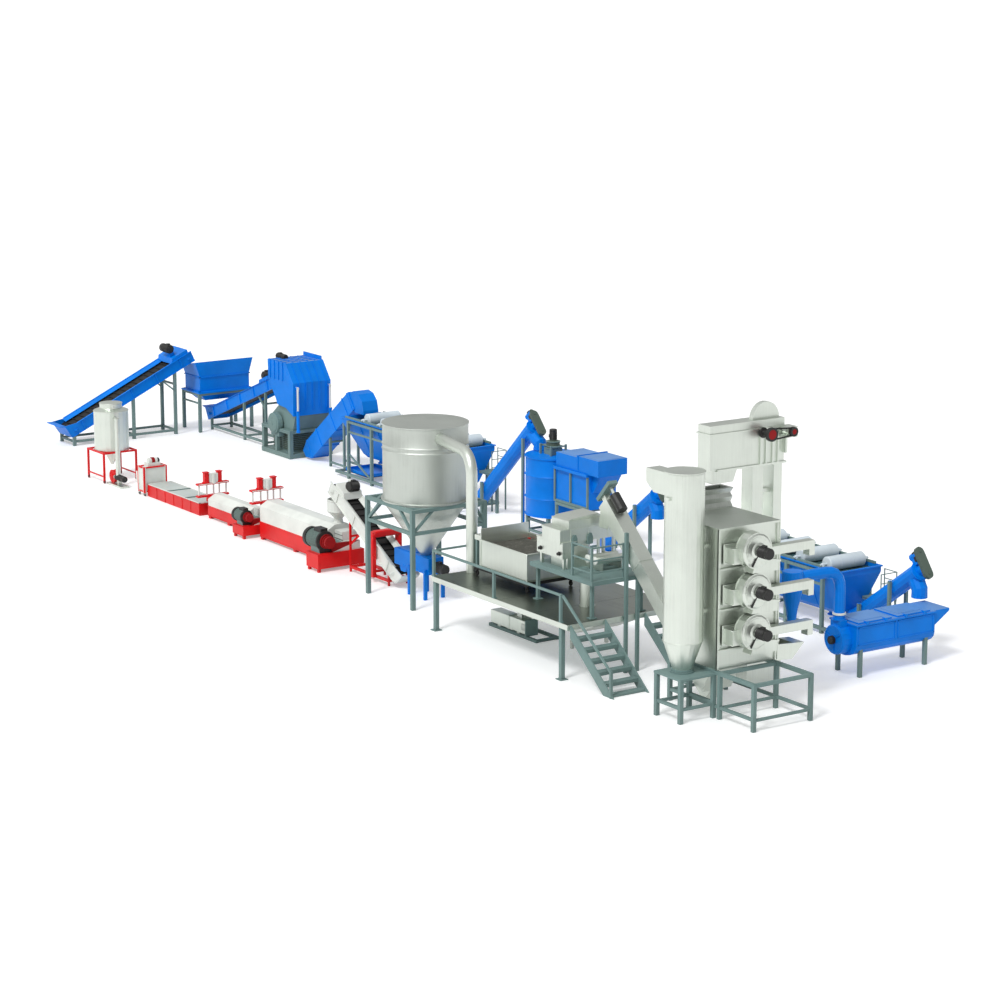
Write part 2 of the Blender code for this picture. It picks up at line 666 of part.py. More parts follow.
def float_tank(number, x, rim_z, with_washer):
    """Hopper-shaped float tank with its frame and a row of paddle drums on its rim."""
    place = station("float_station_%d" % number, x, WASH_Y)
    half = TANK_WIDTH / 2
    bottom = rim_z - TANK_DEPTH
    levels = [((1.15, TANK_LENGTH - 0.5), (-0.36, 0.36), bottom),
              ((1.0, TANK_LENGTH - 0.4), (-0.5, 0.5), bottom + 0.16),
              ((0.0, TANK_LENGTH), (-half, half), rim_z - TANK_WALL),
              ((0.0, TANK_LENGTH), (-half, half), rim_z)]
    solids = [hopper(levels, SHEET, floor=True)]
    piece("float_tank_%d" % number, solids, BLUE, place)
    wash_frame("float_frame_%d" % number, place, rim_z, with_washer)
    low = rim_z + CLEAR
    rails = [box((0.3, TANK_LENGTH - 0.3), (side * (half - 0.02) - 0.035, side * (half - 0.02) + 0.035), (low, low + 0.09))
             for side in (-1, 1)]
    first = 2.0 if with_washer else 1.3
    pitch = (TANK_LENGTH - 0.9 - first) / (DRUM_COUNT - 1)
    axis_z = low + 0.12
    drums = rails
    for k in range(DRUM_COUNT):
        along = first + k * pitch
        ends = half + 0.1
        profile = [(0.05, -ends), (0.05, 0.22 - half), (DRUM_RADIUS, 0.22 - half), (DRUM_RADIUS, half - 0.22),
                   (0.05, half - 0.22), (0.05, ends)]
        drums.append(turned((along, 0, axis_z), "y", profile, 8))
    piece("float_drums_%d" % number, drums, PALE, place)


def screw_2():
    """Screw conveyor from float tank 1 up to the wash drum, on a pole."""
    place = station("screw_2_foot", SCREW_2_X, WASH_Y)
    screw_conveyor("screw_conveyor_2", place, SCREW_2_RUN, SCREW_2_RISE, SCREW_2_LOW_Z, (0.72, 0.71),
                   ((0.7, (-0.42, 0.42), 0.3), (5.15, (-0.36,), -0.2)), -0.2)


def wash_drum():
    """Upright wash drum and box washer on one leg frame."""
    place = station("drum", WASH_DRUM_X, WASH_Y)
    radius = WASH_DRUM_RADIUS
    low, top = WASH_DRUM_LOW_Z, WASH_DRUM_TOP_Z
    outer = [(radius, low), (radius, low + 0.75), (radius + 0.04, low + 0.81), (radius, low + 0.87),
             (radius, low + 1.75), (radius + 0.04, low + 1.81), (radius, low + 1.87), (radius, top)]
    inner = [(radius - SHEET, top), (radius - SHEET, low + SHEET), (0.25, low + SHEET - 0.02), (0.25, low)]
    piece("wash_drum", [turned((0, 0, 0), "z", outer + inner, VESSEL_SIDES, closed=True)], BLUE, place, smooth=True)
    lid = top + CLEAR
    roof = [turned((0, 0, 0), "z", [(radius + 0.03, lid), (radius + 0.03, lid + 0.05)], VESSEL_SIDES),
            box((-0.29, 0.29), (-0.29, 0.29), (lid + 0.02, lid + 0.35)),
            turned((0, 0, 0), "z", [(0.3, lid + 0.3), (0.3, lid + 0.62), (0.16, lid + 0.66), (0.16, lid + 1.15)], 14)]
    for a in (-0.4, 0.4):
        for b in (-0.4, 0.4):
            roof.append(box((a - 0.04, a + 0.04), (b - 0.04, b + 0.04), (lid + 0.02, lid + 0.5)))
        roof.append(box((a - 0.03, a + 0.03), (-0.39, 0.39), (lid + 0.4, lid + 0.46)))
    roof.append(box((-0.38, 0.38), (-0.31, 0.31), (lid + 0.41, lid + 0.45)))
    piece("wash_drum_roof", roof, BLUE, place)
    legs = []
    box_start = BOX_X - WASH_DRUM_X
    box_end = box_start + BOX_LENGTH - 0.1
    for a in (-0.8, 0.8):
        for b in (-0.8, 0.8):
            legs.append(post(a, b, low - CLEAR, POST))
    for b in (-0.8, 0.8):
        legs.append(bar((-0.8, b, 0.72), (0.8, b, 0.72), RAIL))
        legs.append(bar((-0.8, b, RAIL_LIFT), (box_end, b, RAIL_LIFT), RAIL * 0.9))
    for a in (-0.8, 0.8, box_end):
        legs.append(bar((a, -0.8, RAIL_LIFT), (a, 0.8, RAIL_LIFT), RAIL * 0.8))
    floor_z = BOX_LOW_Z - CLEAR
    for a in (box_start + 0.12, box_end):
        for b in (-0.8, 0.8):
            legs.append(post(a, b, floor_z - 0.05, RAIL))
    for b in (-0.8, 0.8):
        legs.append(bar((box_start + 0.05, b, floor_z - 0.055), (box_end + 0.05, b, floor_z - 0.055), 0.11))
    for a in (box_start + 0.2, box_end - 0.1):
        legs.append(bar((a, -0.8, floor_z - 0.055), (a, 0.8, floor_z - 0.055), 0.09, 0.11))
    piece("drum_frame", legs, GREY, place)


def box_washer():
    """Box washer beside the wash drum, with an overhanging lid in two parts."""
    place = station("box_station", BOX_X, WASH_Y)
    half = BOX_WIDTH / 2
    length = BOX_LENGTH
    solids = [box((0.0, length), (-half, half), (BOX_LOW_Z, BOX_TOP_Z))]
    for a in (-0.12, 1.05, length - 0.1):
        solids.append(box((a, a + 0.09), (-half - 0.08, -half + (0.02 if a > 0 else -0.02)), (BOX_LOW_Z + 0.03, BOX_TOP_Z - 0.03)))
    solids.append(box((-0.1, length), (-half - 0.09, -half + 0.02), (BOX_LOW_Z + 0.01, BOX_LOW_Z + 0.11)))
    solids.append(box((-0.1, length), (-half - 0.12, -half + 0.02), (BOX_TOP_Z - 0.13, BOX_TOP_Z - 0.02)))
    chute = [(length - 0.1, BOX_TOP_Z - 0.15), (length + 0.62, BOX_TOP_Z - 0.02), (length + 0.04, BOX_LOW_Z + 0.75),
             (length - 0.1, BOX_LOW_Z + 0.85)]
    solids.append(prism(chute, "y", (-half * 0.75, half * 0.8)))
    low = BOX_TOP_Z - 0.01
    lid = [box((0.0, 1.7), (-half - 0.03, half - 0.02), (low, LID_TOP_Z - 0.08)),
           box((1.66, length + 0.75), (-half - 0.06, half + 0.04), (low, LID_TOP_Z)),
           box((1.62, 1.7), (-half - 0.09, half + 0.07), (low + 0.02, LID_TOP_Z + 0.04))]
    piece("box_washer", solids + lid, BLUE, place)


def screw_3():
    """Screw conveyor from the box washer to float tank 2."""
    place = station("screw_3_foot", SCREW_3_X, WASH_Y)
    screw_conveyor("screw_conveyor_3", place, SCREW_3_RUN, SCREW_3_RISE, SCREW_3_LOW_Z, (0.3, 0.75),
                   ((1.1, (-0.42, 0.42), 0.3), (2.9, (-0.42, 0.42), 0.3)))


def screw_4():
    """Screw conveyor from float tank 2 to the dewatering machine."""
    place = station("screw_4_foot", SCREW_4_X, WASH_Y)
    screw_conveyor("screw_conveyor_4", place, SCREW_4_RUN, SCREW_4_RISE, SCREW_4_LOW_Z, (0.3, 0.8),
                   ((0.5, (-0.42, 0.42), 0.3), (2.6, (-0.42, 0.42), 0.3)))


def dewatering_machine():
    """Flat-sided dewatering machine on four legs, with a fan on its end, hatches and an inlet lip."""
    place = station("dewatering", DEWATERER_X, DEWATERER_Y)
    half = DEWATERER_WIDTH / 2
    low, top = DEWATERER_LOW_Z, DEWATERER_TOP_Z
    length = DEWATERER_LENGTH
    belly = 0.45
    bottom = [(half * cos(radians(t)), low + belly + belly * sin(radians(t))) for t in range(180, 361, 20)]
    solids = [prism([(half, top), (-half, top)] + bottom, "y", (0, length)),
              box((-half - 0.04, half + 0.04), (-0.03, length + 0.03), (top - 0.07, top - 0.01))]
    for start in (0.12, length / 2 + 0.1):
        solids.append(box((-half + 0.1, half - 0.05), (start, start + length / 2 - 0.3), (top - 0.02, top + 0.06)))
        for across in (0.3, 1.2):
            solids.append(box((half - 0.12, half + 0.05), (start + across, start + across + 0.12), (top - 0.03, top + 0.1)))
    lip_end = length + 0.75
    lip = [(length - 0.05, top - 0.62), (lip_end, top - 0.1), (lip_end, top), (length - 0.05, top)]
    solids.append(prism(lip, "x", (-half + 0.05, half - 0.05)))
    fan_z = low + 0.62
    solids.append(turned((DUCT_OFFSET, 0, fan_z), "y", [(0.56, 0.05), (0.56, -0.38), (0.5, -0.42)], 18))
    solids.append(turned((DUCT_OFFSET, 0, fan_z), "y", [(0.14, -0.4), (0.14, -0.5)], 10))
    solids.append(box((DUCT_OFFSET - 0.27, DUCT_OFFSET + 0.27), (-0.34, -0.02), (fan_z + 0.1, top + 0.1)))
    for a in inset((-half, half), 0.12):
        for b in (0.3, length - 0.35):
            solids.append(post(a, b, low + 0.42, 0.14))
    piece("dewatering_machine", solids, BLUE, place)


def dryer():
    """Three-tier dryer tower with a blower and its return arm on every tier."""
    place = station("dryer", DRYER_X, DRYER_Y)
    depth = DRYER_FACE_X - DRYER_X
    width = DRYER_WIDTH
    low, top = DRYER_LOW_Z, DRYER_TOP_Z
    tier = (top - low - 0.7) / DRYER_TIERS
    solids = [box((0, depth - 0.06), (0.05, width - 0.05), (low, top - 0.02)),
              box((-0.04, depth + 0.02), (0, width), (top - 0.08, top))]
    for k in range(DRYER_TIERS):
        seam = low + 0.7 + k * tier
        solids.append(box((depth - 0.3, depth + 0.05), (0.02, width + 0.03), (seam - 0.04, seam + 0.03)))
    for y in (0.0, width - 0.12):
        solids.append(box((depth - 0.2, depth), (y, y + 0.12), (low + 0.02, top - 0.03)))
    inlet_x, inlet_y = (-0.5, 0.2), (1.32, 2.66)
    bellows = [rectangle((-0.06, 0.3), inlet_y, top - 0.85)]
    for rise, pinch in ((-0.25, 0.0), (0.05, 0.0), (0.2, 0.05), (0.38, 0.0), (0.52, 0.06), (0.7, -0.02)):
        bellows.append(rectangle(inset(inlet_x, pinch), inset(inlet_y, pinch), top + rise))
    solids.append(loft(bellows))
    tray = [(width - 0.1, low + 0.5), (width + 1.33, low + 0.4), (width + 0.8, low - 0.14), (width + 0.02, low - 0.08),
            (width + 0.02, low + 0.01), (width - 0.1, low + 0.01)]
    solids.append(prism(tray, "x", (depth - 1.0, depth - 0.15)))
    screw_top = SORTING_HALF + CLEAR
    feet = [sorting_at(0.3, screw_top), sorting_at(-0.28, screw_top)]
    chute = [(depth - 1.6, low + 0.05)] + [(SORTING_X - a - DRYER_X, b) for a, b in feet] + [(depth - 0.9, low + 0.05)]
    solids.append(prism(chute, "y", (0.6, 1.9)))
    tray_cut = box((depth - 0.95, depth - 0.2), (width + 0.1, width + 0.86), (low + 0.07, low + 0.9))
    inlet_cut = box(inset(inlet_x, 0.1), inset(inlet_y, 0.1), (top + 0.12, top + 1.0))
    piece("dryer_tower", solids, STEEL, place, cuts=[tray_cut, inlet_cut])
    face = depth + CLEAR
    wheel_y = 1.13
    for k in range(DRYER_TIERS):
        axis_z = low + 0.7 + (k + 0.47) * tier
        name = "dryer_blower_%d" % (DRYER_TIERS - k)
        unit = [turned((face, wheel_y, axis_z), "x", [(0.62, 0.3), (0.62, 0.72), (0.55, 0.76)], 16),
                turned((face, wheel_y, axis_z), "x", [(0.3, 0), (0.3, 0.35)], 10),
                box((face, face + 0.5), (0.3, 0.9), (axis_z - 0.42, axis_z + 0.1)),
                turned((face + 0.75, wheel_y, axis_z), "x", [(0.13, -0.02), (0.13, 0.1), (0.19, 0.1), (0.19, 0.6), (0.14, 0.64)], 10)]
        scroll = [(wheel_y + 0.1, axis_z - 0.3), (wheel_y + 0.95, axis_z - 0.42), (wheel_y + 0.95, axis_z - 0.8),
                  (wheel_y - 0.2, axis_z - 0.78), (wheel_y - 0.1, axis_z - 0.5)]
        unit.append(prism(scroll, "x", (face + 0.25, face + 0.71)))
        reach = width + 1.28
        arm = [(1.5, axis_z - 0.05), (reach, axis_z - 0.05), (reach, axis_z - 0.58), (reach - 0.24, axis_z - 0.58),
               (reach - 0.24, axis_z - 0.35), (1.5, axis_z - 0.35)]
        unit.append(prism(arm, "x", (face + 0.02, face + 0.36)))
        piece(name, unit, STEEL, place)


def dryer_frame():
    """Cyclone table and the open frame beside it, one welded stand."""
    place = station("dryer_stand", DRYER_X, DRYER_Y)
    table_x = (26.93 - DRYER_X, 28.45 - DRYER_X)
    table_y = (-8.45 - DRYER_Y, -6.86 - DRYER_Y)
    top = TABLE_TOP_Z
    solids = [box(table_x, table_y, (top - 0.08, top))]
    for a in inset(table_x, POST / 2 + 0.01):
        for b in inset(table_y, POST / 2 + 0.01):
            solids.append(post(a, b, top - 0.02, POST))
    for b in inset(table_y, POST / 2 + 0.01):
        solids.append(bar((table_x[0] + 0.08, b, 0.55), (table_x[1] - 0.08, b, 0.55), RAIL))
    for a in inset(table_x, POST / 2 + 0.01):
        solids.append(bar((a, table_y[0] + 0.08, 0.5), (a, table_y[1] - 0.08, 0.5), RAIL * 0.9))
    under = DRYER_LOW_Z - CLEAR
    middle_x = DRYER_FACE_X - DRYER_X + 0.14
    frame_x = (0.12, DRYER_FACE_X - DRYER_X + 2.0)
    frame_y = (0.05, DRYER_WIDTH - 0.15)
    for a in (frame_x[0], middle_x, frame_x[1]):
        for b in frame_y:
            solids.append(post(a, b, under - 0.02, POST * 0.93))
    for b in frame_y:
        solids.append(bar((frame_x[0], b, under - 0.07), (frame_x[1] + 0.04, b, under - 0.07), POST * 0.85, 0.14))
        solids.append(bar((frame_x[0], b, 0.42), (frame_x[1], b, 0.42), RAIL * 0.95))
    for a, deep in ((frame_x[0], 0.08), (middle_x, 0.13), (frame_x[1], 0.13)):
        level = under - 0.01 - deep / 2
        solids.append(bar((a, frame_y[0], level), (a, frame_y[1], level), POST * 0.8, deep))
        solids.append(bar((a, frame_y[0], 0.4), (a, frame_y[1], 0.4), RAIL * 0.85))
    piece("dryer_frame", solids, GREY, place)


def cyclone():
    """Tall cyclone on the table: barrel, cone, side inlet head and brackets to the tower."""
    place = station("cyclone_station", CYCLONE_X, CYCLONE_Y)
    low, top = TABLE_TOP_Z + CLEAR, CYCLONE_TOP_Z
    profile = [(CYCLONE_OUTLET_RADIUS, low), (CYCLONE_OUTLET_RADIUS * 0.95, low + 0.1), (CYCLONE_RADIUS, CYCLONE_CONE_Z),
               (CYCLONE_RADIUS, top - 0.06), (CYCLONE_RADIUS - 0.03, top)]
    head = [(-1.28, top - 0.03), (0, top - 0.03), (0, top - 0.82), (-0.85, top - 0.82), (-1.28, top - 0.5)]
    solids = [turned((0, 0, 0), "z", profile, VESSEL_SIDES),
              prism(head, "y", (-CYCLONE_RADIUS + 0.01, -0.1)),
              box((-0.12, 0.12), (-CYCLONE_RADIUS - 0.08, -CYCLONE_RADIUS + 0.1), (top - 0.95, top - 0.85))]
    wall_y = DRYER_Y + 0.05 - CYCLONE_Y - CLEAR
    for level in (3.6, 5.9):
        solids.append(box((-0.15, 0.15), (CYCLONE_RADIUS - 0.1, wall_y), (level, level + 0.12)))
    piece("cyclone", solids, STEEL, place, smooth=False)


def elevator():
    """Bucket elevator: two casings, a long head box with a half-round cover and an outlet hopper."""
    place = station("elevator_station", ELEVATOR_X, ELEVATOR_Y)
    half = ELEVATOR_WIDTH / 2
    head, top = ELEVATOR_HEAD_Z, ELEVATOR_TOP_Z
    y0, y1 = -2.2, 1.15
    front, back = (0.74, 1.12), (-0.23, 0.25)
    solids = [box((-half, half), (y0, y1), (head, top)),
              box((-half - 0.05, half + 0.05), (y0 - 0.05, y1 + 0.05), (top - 0.33, top - 0.28)),
              box((-half - 0.06, half + 0.06), (y0 + 0.3, y1 + 0.08), (head - 0.04, head + 0.03)),
              box((-half + 0.03, half - 0.04), back, (0.0, head + 0.05)),
              box((-half + 0.04, half - 0.05), front, (0.02, head + 0.05)),
              box((-half + 0.02, half - 0.02), (back[0] - 0.1, front[1] + 0.1), (0.01, 0.9))]
    for level in (3.4, 5.6, 7.0):
        solids.append(box((-0.2, 0.1), (back[1] - 0.05, front[0] + 0.05), (level, level + 0.14)))
    cap = [(0.48 + 0.6 * cos(radians(t)), top - 0.02 + 0.62 * sin(radians(t))) for t in range(0, 181, 15)]
    solids.append(prism(cap, "x", (-0.1, 0.12)))
    outlet = [(y0 + 0.1, head + 0.1), (y0 + 1.26, head + 0.1), (y0 + 1.26, head - 0.02), (y0 + 1.08, head - 0.48),
              (y0 + 0.16, head - 0.48)]
    solids.append(prism(outlet, "x", (-half + 0.05, half - 0.03)))
    for across, wide in ((0.02, 0.1), (0.27, 0.06), (0.57, 0.06), (0.81, 0.06)):
        solids.append(box((half - 0.02, half + 0.06), (across, across + wide), (head, top - 0.3)))
    drive_z = top - 0.45
    out = half + 0.42
    solids.append(turned((half, 0.17, drive_z), "x", [(0.08, -0.05), (0.08, 0.42), (0.24, 0.42), (0.24, 0.54)], 16))
    solids.append(turned((half, 1.17, drive_z), "x", [(0.14, -0.1), (0.14, 0.36), (0.06, 0.36), (0.06, 0.42), (0.16, 0.42), (0.16, 0.54)], 16))
    solids.append(box((half - 0.1, out), (0.9, 1.42), (drive_z - 0.22, drive_z - 0.12)))
    solids.append(box((half - 0.1, out), (0.9, 1.42), (drive_z + 0.12, drive_z + 0.16)))
    solids.append(box((half - 0.05, half + 0.2), (1.05, 1.14), (head + 0.35, drive_z - 0.15)))
    for side in (-1, 1):
        solids.append(bar((out + 0.06, 0.17, drive_z + side * 0.2), (out + 0.06, 1.17, drive_z + side * 0.13), 0.05))
    piece("elevator", solids, STEEL, place)


def sorting_screw():
    """Square inclined screw from under the dryer up to the sorter."""
    place = station("sorting_screw_foot", SORTING_X, SORTING_Y, 180)
    at = sorting_at
    length = SORTING_LENGTH
    half = SORTING_HALF
    body = [at(-0.3, -half), at(length, -half), at(length, half), at(-0.3, half)]
    solids = [prism(body, "y", (-half, half))]
    head_z = at(length, 0)[1]
    solids.append(prism([at(length - 0.05, -0.12), at(length + 0.3, -0.12), at(length + 0.3, 0.12), at(length - 0.05, 0.12)],
                        "y", (-0.12, 0.12)))
    guard = [at(length + 0.28, -0.3), at(length + 0.42, -0.3), at(length + 0.42, 0.75), at(length + 0.28, 0.75)]
    solids.append(prism(guard, "y", (-0.2, 0.2)))
    mx, mz = at(length - 0.75, half + 0.18)
    ex, ez = at(length - 0.05, half + 0.18)
    solids.append(pipe([(mx, 0, mz), (ex, 0, ez)], 0.2, 12))
    tx, tz = at(length + 0.3, half + 0.2)
    solids.append(pipe([(ex, 0, ez), (tx, 0, tz)], 0.06, 8))
    spout = [at(length - 0.05, -half + 0.05), at(length - 0.75, -half + 0.05), (at(length - 0.4, -half)[0] - 0.22, head_z - 0.95),
             (at(length - 0.4, -half)[0] + 0.35, head_z - 0.95)]
    solids.append(prism(spout, "y", (-half + 0.04, half - 0.04)))
    piece("sorting_screw", solids, STEEL, place)


def platform():
    """Working deck on posts with its rail, two stairs and the raised inspection platform."""
    place = station("platform", 0, 0)
    x, y = (DECK_X0, DECK_X1), (DECK_Y0, DECK_Y1)
    low = DECK_Z - DECK_THICK
    solids = [box(x, y, (low, DECK_Z))]
    for a in (x[0] + 0.12, x[1] - 0.5):
        for b in (y[0] + 0.12, y[1] - 0.12):
            solids.append(post(a, b, low + 0.05, POST * 1.1))
            solids.append(box((a - 0.17, a + 0.17), (b - 0.17, b + 0.17), (0, 0.03)))
    rail_y = y[0] + 0.06
    top = DECK_Z + RAIL_HEIGHT
    for a in (x[0] + 0.06, x[0] + 4.22, x[1] - 0.5):
        solids.append(box((a - 0.05, a + 0.05), (rail_y - 0.05, rail_y + 0.05), (DECK_Z - 0.02, top)))
    solids.append(bar((x[0] + 0.02, rail_y, top - 0.045), (x[1] - 0.46, rail_y, top - 0.045), 0.08))
    left_x = x[0] + 0.06
    solids.append(box((left_x - 0.04, left_x + 0.04), (y[0] + 1.6, y[0] + 1.68), (DECK_Z - 0.02, top - 0.02)))
    solids.append(bar((left_x, rail_y, top - 0.04), (left_x, y[0] + 1.66, top - 0.04), 0.07))
    piece("platform_deck", solids, STEEL, place)
    start = x[1] + CLEAR
    front = flight(start, y[0] + 0.12, STAIR_WIDTH)
    foot_x = start + STAIR_RUN - 0.16
    foot_z = 1.0
    front.append(box((foot_x - 0.05, foot_x + 0.05), (rail_y + 0.02, rail_y + 0.12), (0.01, foot_z)))
    front.append(bar((x[1] - 0.42, rail_y + 0.03, top - 0.05), (foot_x, rail_y + 0.06, foot_z - 0.05), 0.075))
    piece("stair_1", front, GREY, place)
    piece("stair_2", flight(start, y[0] + 3.45, STAIR_WIDTH * 0.7), GREY, place)
    upper_platform(place)


def flight(x, y, width):
    """Stair flight going down along x: two stringers and its treads."""
    slope = DECK_Z / STAIR_RUN
    deep = 0.5
    foot = deep / slope
    solids = []
    for side in (y, y + width - 0.06):
        outline = [(x, DECK_Z - 0.02), (x + STAIR_RUN, 0.0), (x + STAIR_RUN - foot, 0.0), (x, DECK_Z - deep)]
        solids.append(prism(outline, "y", (side, side + 0.06)))
    for k in range(STAIR_STEPS):
        along = (k + 0.75) * STAIR_RUN / (STAIR_STEPS + 0.6)
        level = DECK_Z - 0.2 - slope * along
        solids.append(box((x + along - 0.17, x + along + 0.14), (y + 0.03, y + width - 0.03), (level - 0.03, level + 0.02)))
    return solids


def upper_platform(place):
    """Raised platform over the deck that carries the sorter, with rails at its corner."""
    x, y = (18.05, DECK_X1 + 0.03), (-7.55, -5.0)
    solids = [box(x, y, (UPPER_Z - 0.16, UPPER_Z))]
    floor_z = DECK_Z + CLEAR
    for a, b in ((x[0] + 0.12, y[0] + 0.3), (21.67, y[0] + 0.25), (x[0] + 0.12, y[1] - 0.12), (21.7, y[1] - 0.12)):
        solids.append(box((a - 0.06, a + 0.06), (b - 0.06, b + 0.06), (floor_z, UPPER_Z - 0.02)))
        solids.append(box((a - 0.14, a + 0.14), (b - 0.14, b + 0.14), (floor_z, floor_z + 0.03)))
    outer_x = DECK_X1 + 0.07
    for b, level in ((-5.54, 3.75), (-6.06, 5.25)):
        solids.append(box((outer_x - 0.06, outer_x + 0.06), (b - 0.06, b + 0.06), (0.0, level)))
    top = UPPER_Z + RAIL_HEIGHT + 0.2
    rail_x = (20.72, 21.92)
    rail_y = (y[0] + 0.05, SORTING_Y - SORTING_HALF - 0.05)
    for a, b in ((rail_x[0], rail_y[0]), (rail_x[1], rail_y[0]), (rail_x[1], rail_y[1] - 0.05)):
        solids.append(box((a - 0.04, a + 0.04), (b - 0.04, b + 0.04), (UPPER_Z - 0.01, top)))
    for level in (top - 0.03, top - 0.5, UPPER_Z + 0.3):
        solids.append(bar((rail_x[0], rail_y[0], level), (rail_x[1], rail_y[0], level), 0.05))
        solids.append(bar((rail_x[1], rail_y[0], level - 0.004), (rail_x[1], rail_y[1] - 0.05, level - 0.004), 0.05))
    piece("upper_platform", solids, GREY, place)


def sorter():
    """Stainless sorter on the raised platform: feed box, long screening housing and two rollers."""
    place = station("sorter_station", 0, 0)
    floor_z = UPPER_Z + CLEAR
    solids = [box((18.3, 19.95), (-7.4, -6.8), (4.02, 4.62)),
              box((18.75, 19.9), (-7.48, -4.8), (4.58, 5.1)),
              box((18.85, 19.95), (-7.12, -5.6), (5.05, 5.42)),
              box((18.8, 19.85), (-7.1, -6.2), (floor_z, 4.65)),
              box((18.72, 19.98), (-7.52, -4.76), (5.06, 5.12))]
    for a in (18.42, 19.84):
        solids.append(box((a - 0.05, a + 0.05), (-7.3, -7.2), (floor_z, 4.1)))
    for a in (18.85, 19.8):
        for b in (-5.45, -4.98):
            solids.append(box((a - 0.05, a + 0.05), (b - 0.05, b + 0.05), (floor_z, 4.65)))
    for a in (20.3, 20.75):
        solids.append(pipe([(a, -6.5, 4.0), (a, -5.2, 4.0)], 0.15, 12))
    for b in (-6.25, -5.35):
        solids.append(box((19.75, 20.85), (b - 0.04, b + 0.04), (floor_z, 4.02)))
    piece("sorter", solids, STEEL, place)


def vat():
    """Open settling vat on a wheeled chassis on the deck."""
    place = station("vat_station", 0, 0)
    floor_z = DECK_Z + CLEAR
    x, y = (14.2, 17.35), (-7.2, -4.95)
    low, top = 2.55, 3.65
    levels = [(inset(x, 0.05), inset(y, 0.05), low), (x, y, low + 0.1), (x, y, top)]
    solids = [hopper(levels, SHEET, floor=True),
              box((x[0] - 0.02, x[0] + 0.03), (y[0] + 0.02, y[1] - 0.02), (low + 0.2, top + 0.42)),
              box((x[0] - 0.55, x[0] + 0.01), (y[0] + 0.1, y[1] - 0.4), (top - 0.1, top + 0.1)),
              box((x[0] - 0.52, x[0] - 0.42), (y[0] + 0.12, y[1] - 0.42), (low - 0.12, top - 0.05)),
              box((x[1] - 0.02, x[1] + 0.03), (y[0] + 0.02, y[1] - 0.02), (top - 0.1, top + 0.03))]
    for b in (y[0] + 0.12, y[1] - 0.12):
        solids.append(bar((x[0] - 0.53, b, low - 0.07), (x[1], b, low - 0.07), 0.1, 0.16))
        for a in (x[0] - 0.4, x[1] - 0.15):
            solids.append(box((a - 0.04, a + 0.04), (b - 0.04, b + 0.04), (floor_z + 0.1, low - 0.05)))
            solids.append(turned((a, b, floor_z + 0.1), "y", [(0.1, -0.03), (0.1, 0.03)], 8))
    for a in (x[0] - 0.4, x[1] - 0.15):
        solids.append(bar((a, y[0] + 0.12, low - 0.075), (a, y[1] - 0.12, low - 0.075), 0.09, 0.12))
    piece("vat", solids, STEEL, place)


def under_deck():
    """Round-bottomed tank below the deck with its pump on a skid."""
    place = station("under_deck", 0, 0)
    y0, y1 = -5.9, -3.9
    ceiling = DECK_Z - DECK_THICK - CLEAR
    side = [(13.6, ceiling)]
    side += [(15.0 - 1.4 * cos(radians(t)), 1.9 - 1.2 * sin(radians(t))) for t in range(15, 91, 15)]
    side += [(18.6, 0.7), (19.8, 1.2), (20.0, ceiling)]
    solids = [prism(side, "y", (y0, y1))]
    for a in (15.3, 18.2):
        for b in inset((y0, y1), 0.2):
            solids.append(box((a - 0.06, a + 0.06), (b - 0.06, b + 0.06), (0, 0.9)))
    skid_x, skid_y = (13.6, 16.85), (-6.36, -5.4)
    for b in skid_y:
        solids.append(bar((skid_x[0], b, 0.06), (skid_x[1], b, 0.06), 0.12))
    for a in (skid_x[0] + 0.06, 15.1, skid_x[1] - 0.06):
        solids.append(bar((a, skid_y[0], 0.065), (a, skid_y[1], 0.065), 0.11))
    pump_y = -6.2
    solids.append(turned((13.8, pump_y, 0.45), "x", [(0.22, 0), (0.22, 2.1), (0.28, 2.1), (0.28, 2.4)], 14))
    for a in (14.3, 15.6):
        solids.append(box((a - 0.1, a + 0.1), (pump_y - 0.2, pump_y + 0.2), (0.05, 0.35)))
    solids.append(box((15.4, 15.7), (pump_y - 0.1, y0 + 0.1), (0.4, 1.1)))
    piece("process_tank", solids, STEEL, place)


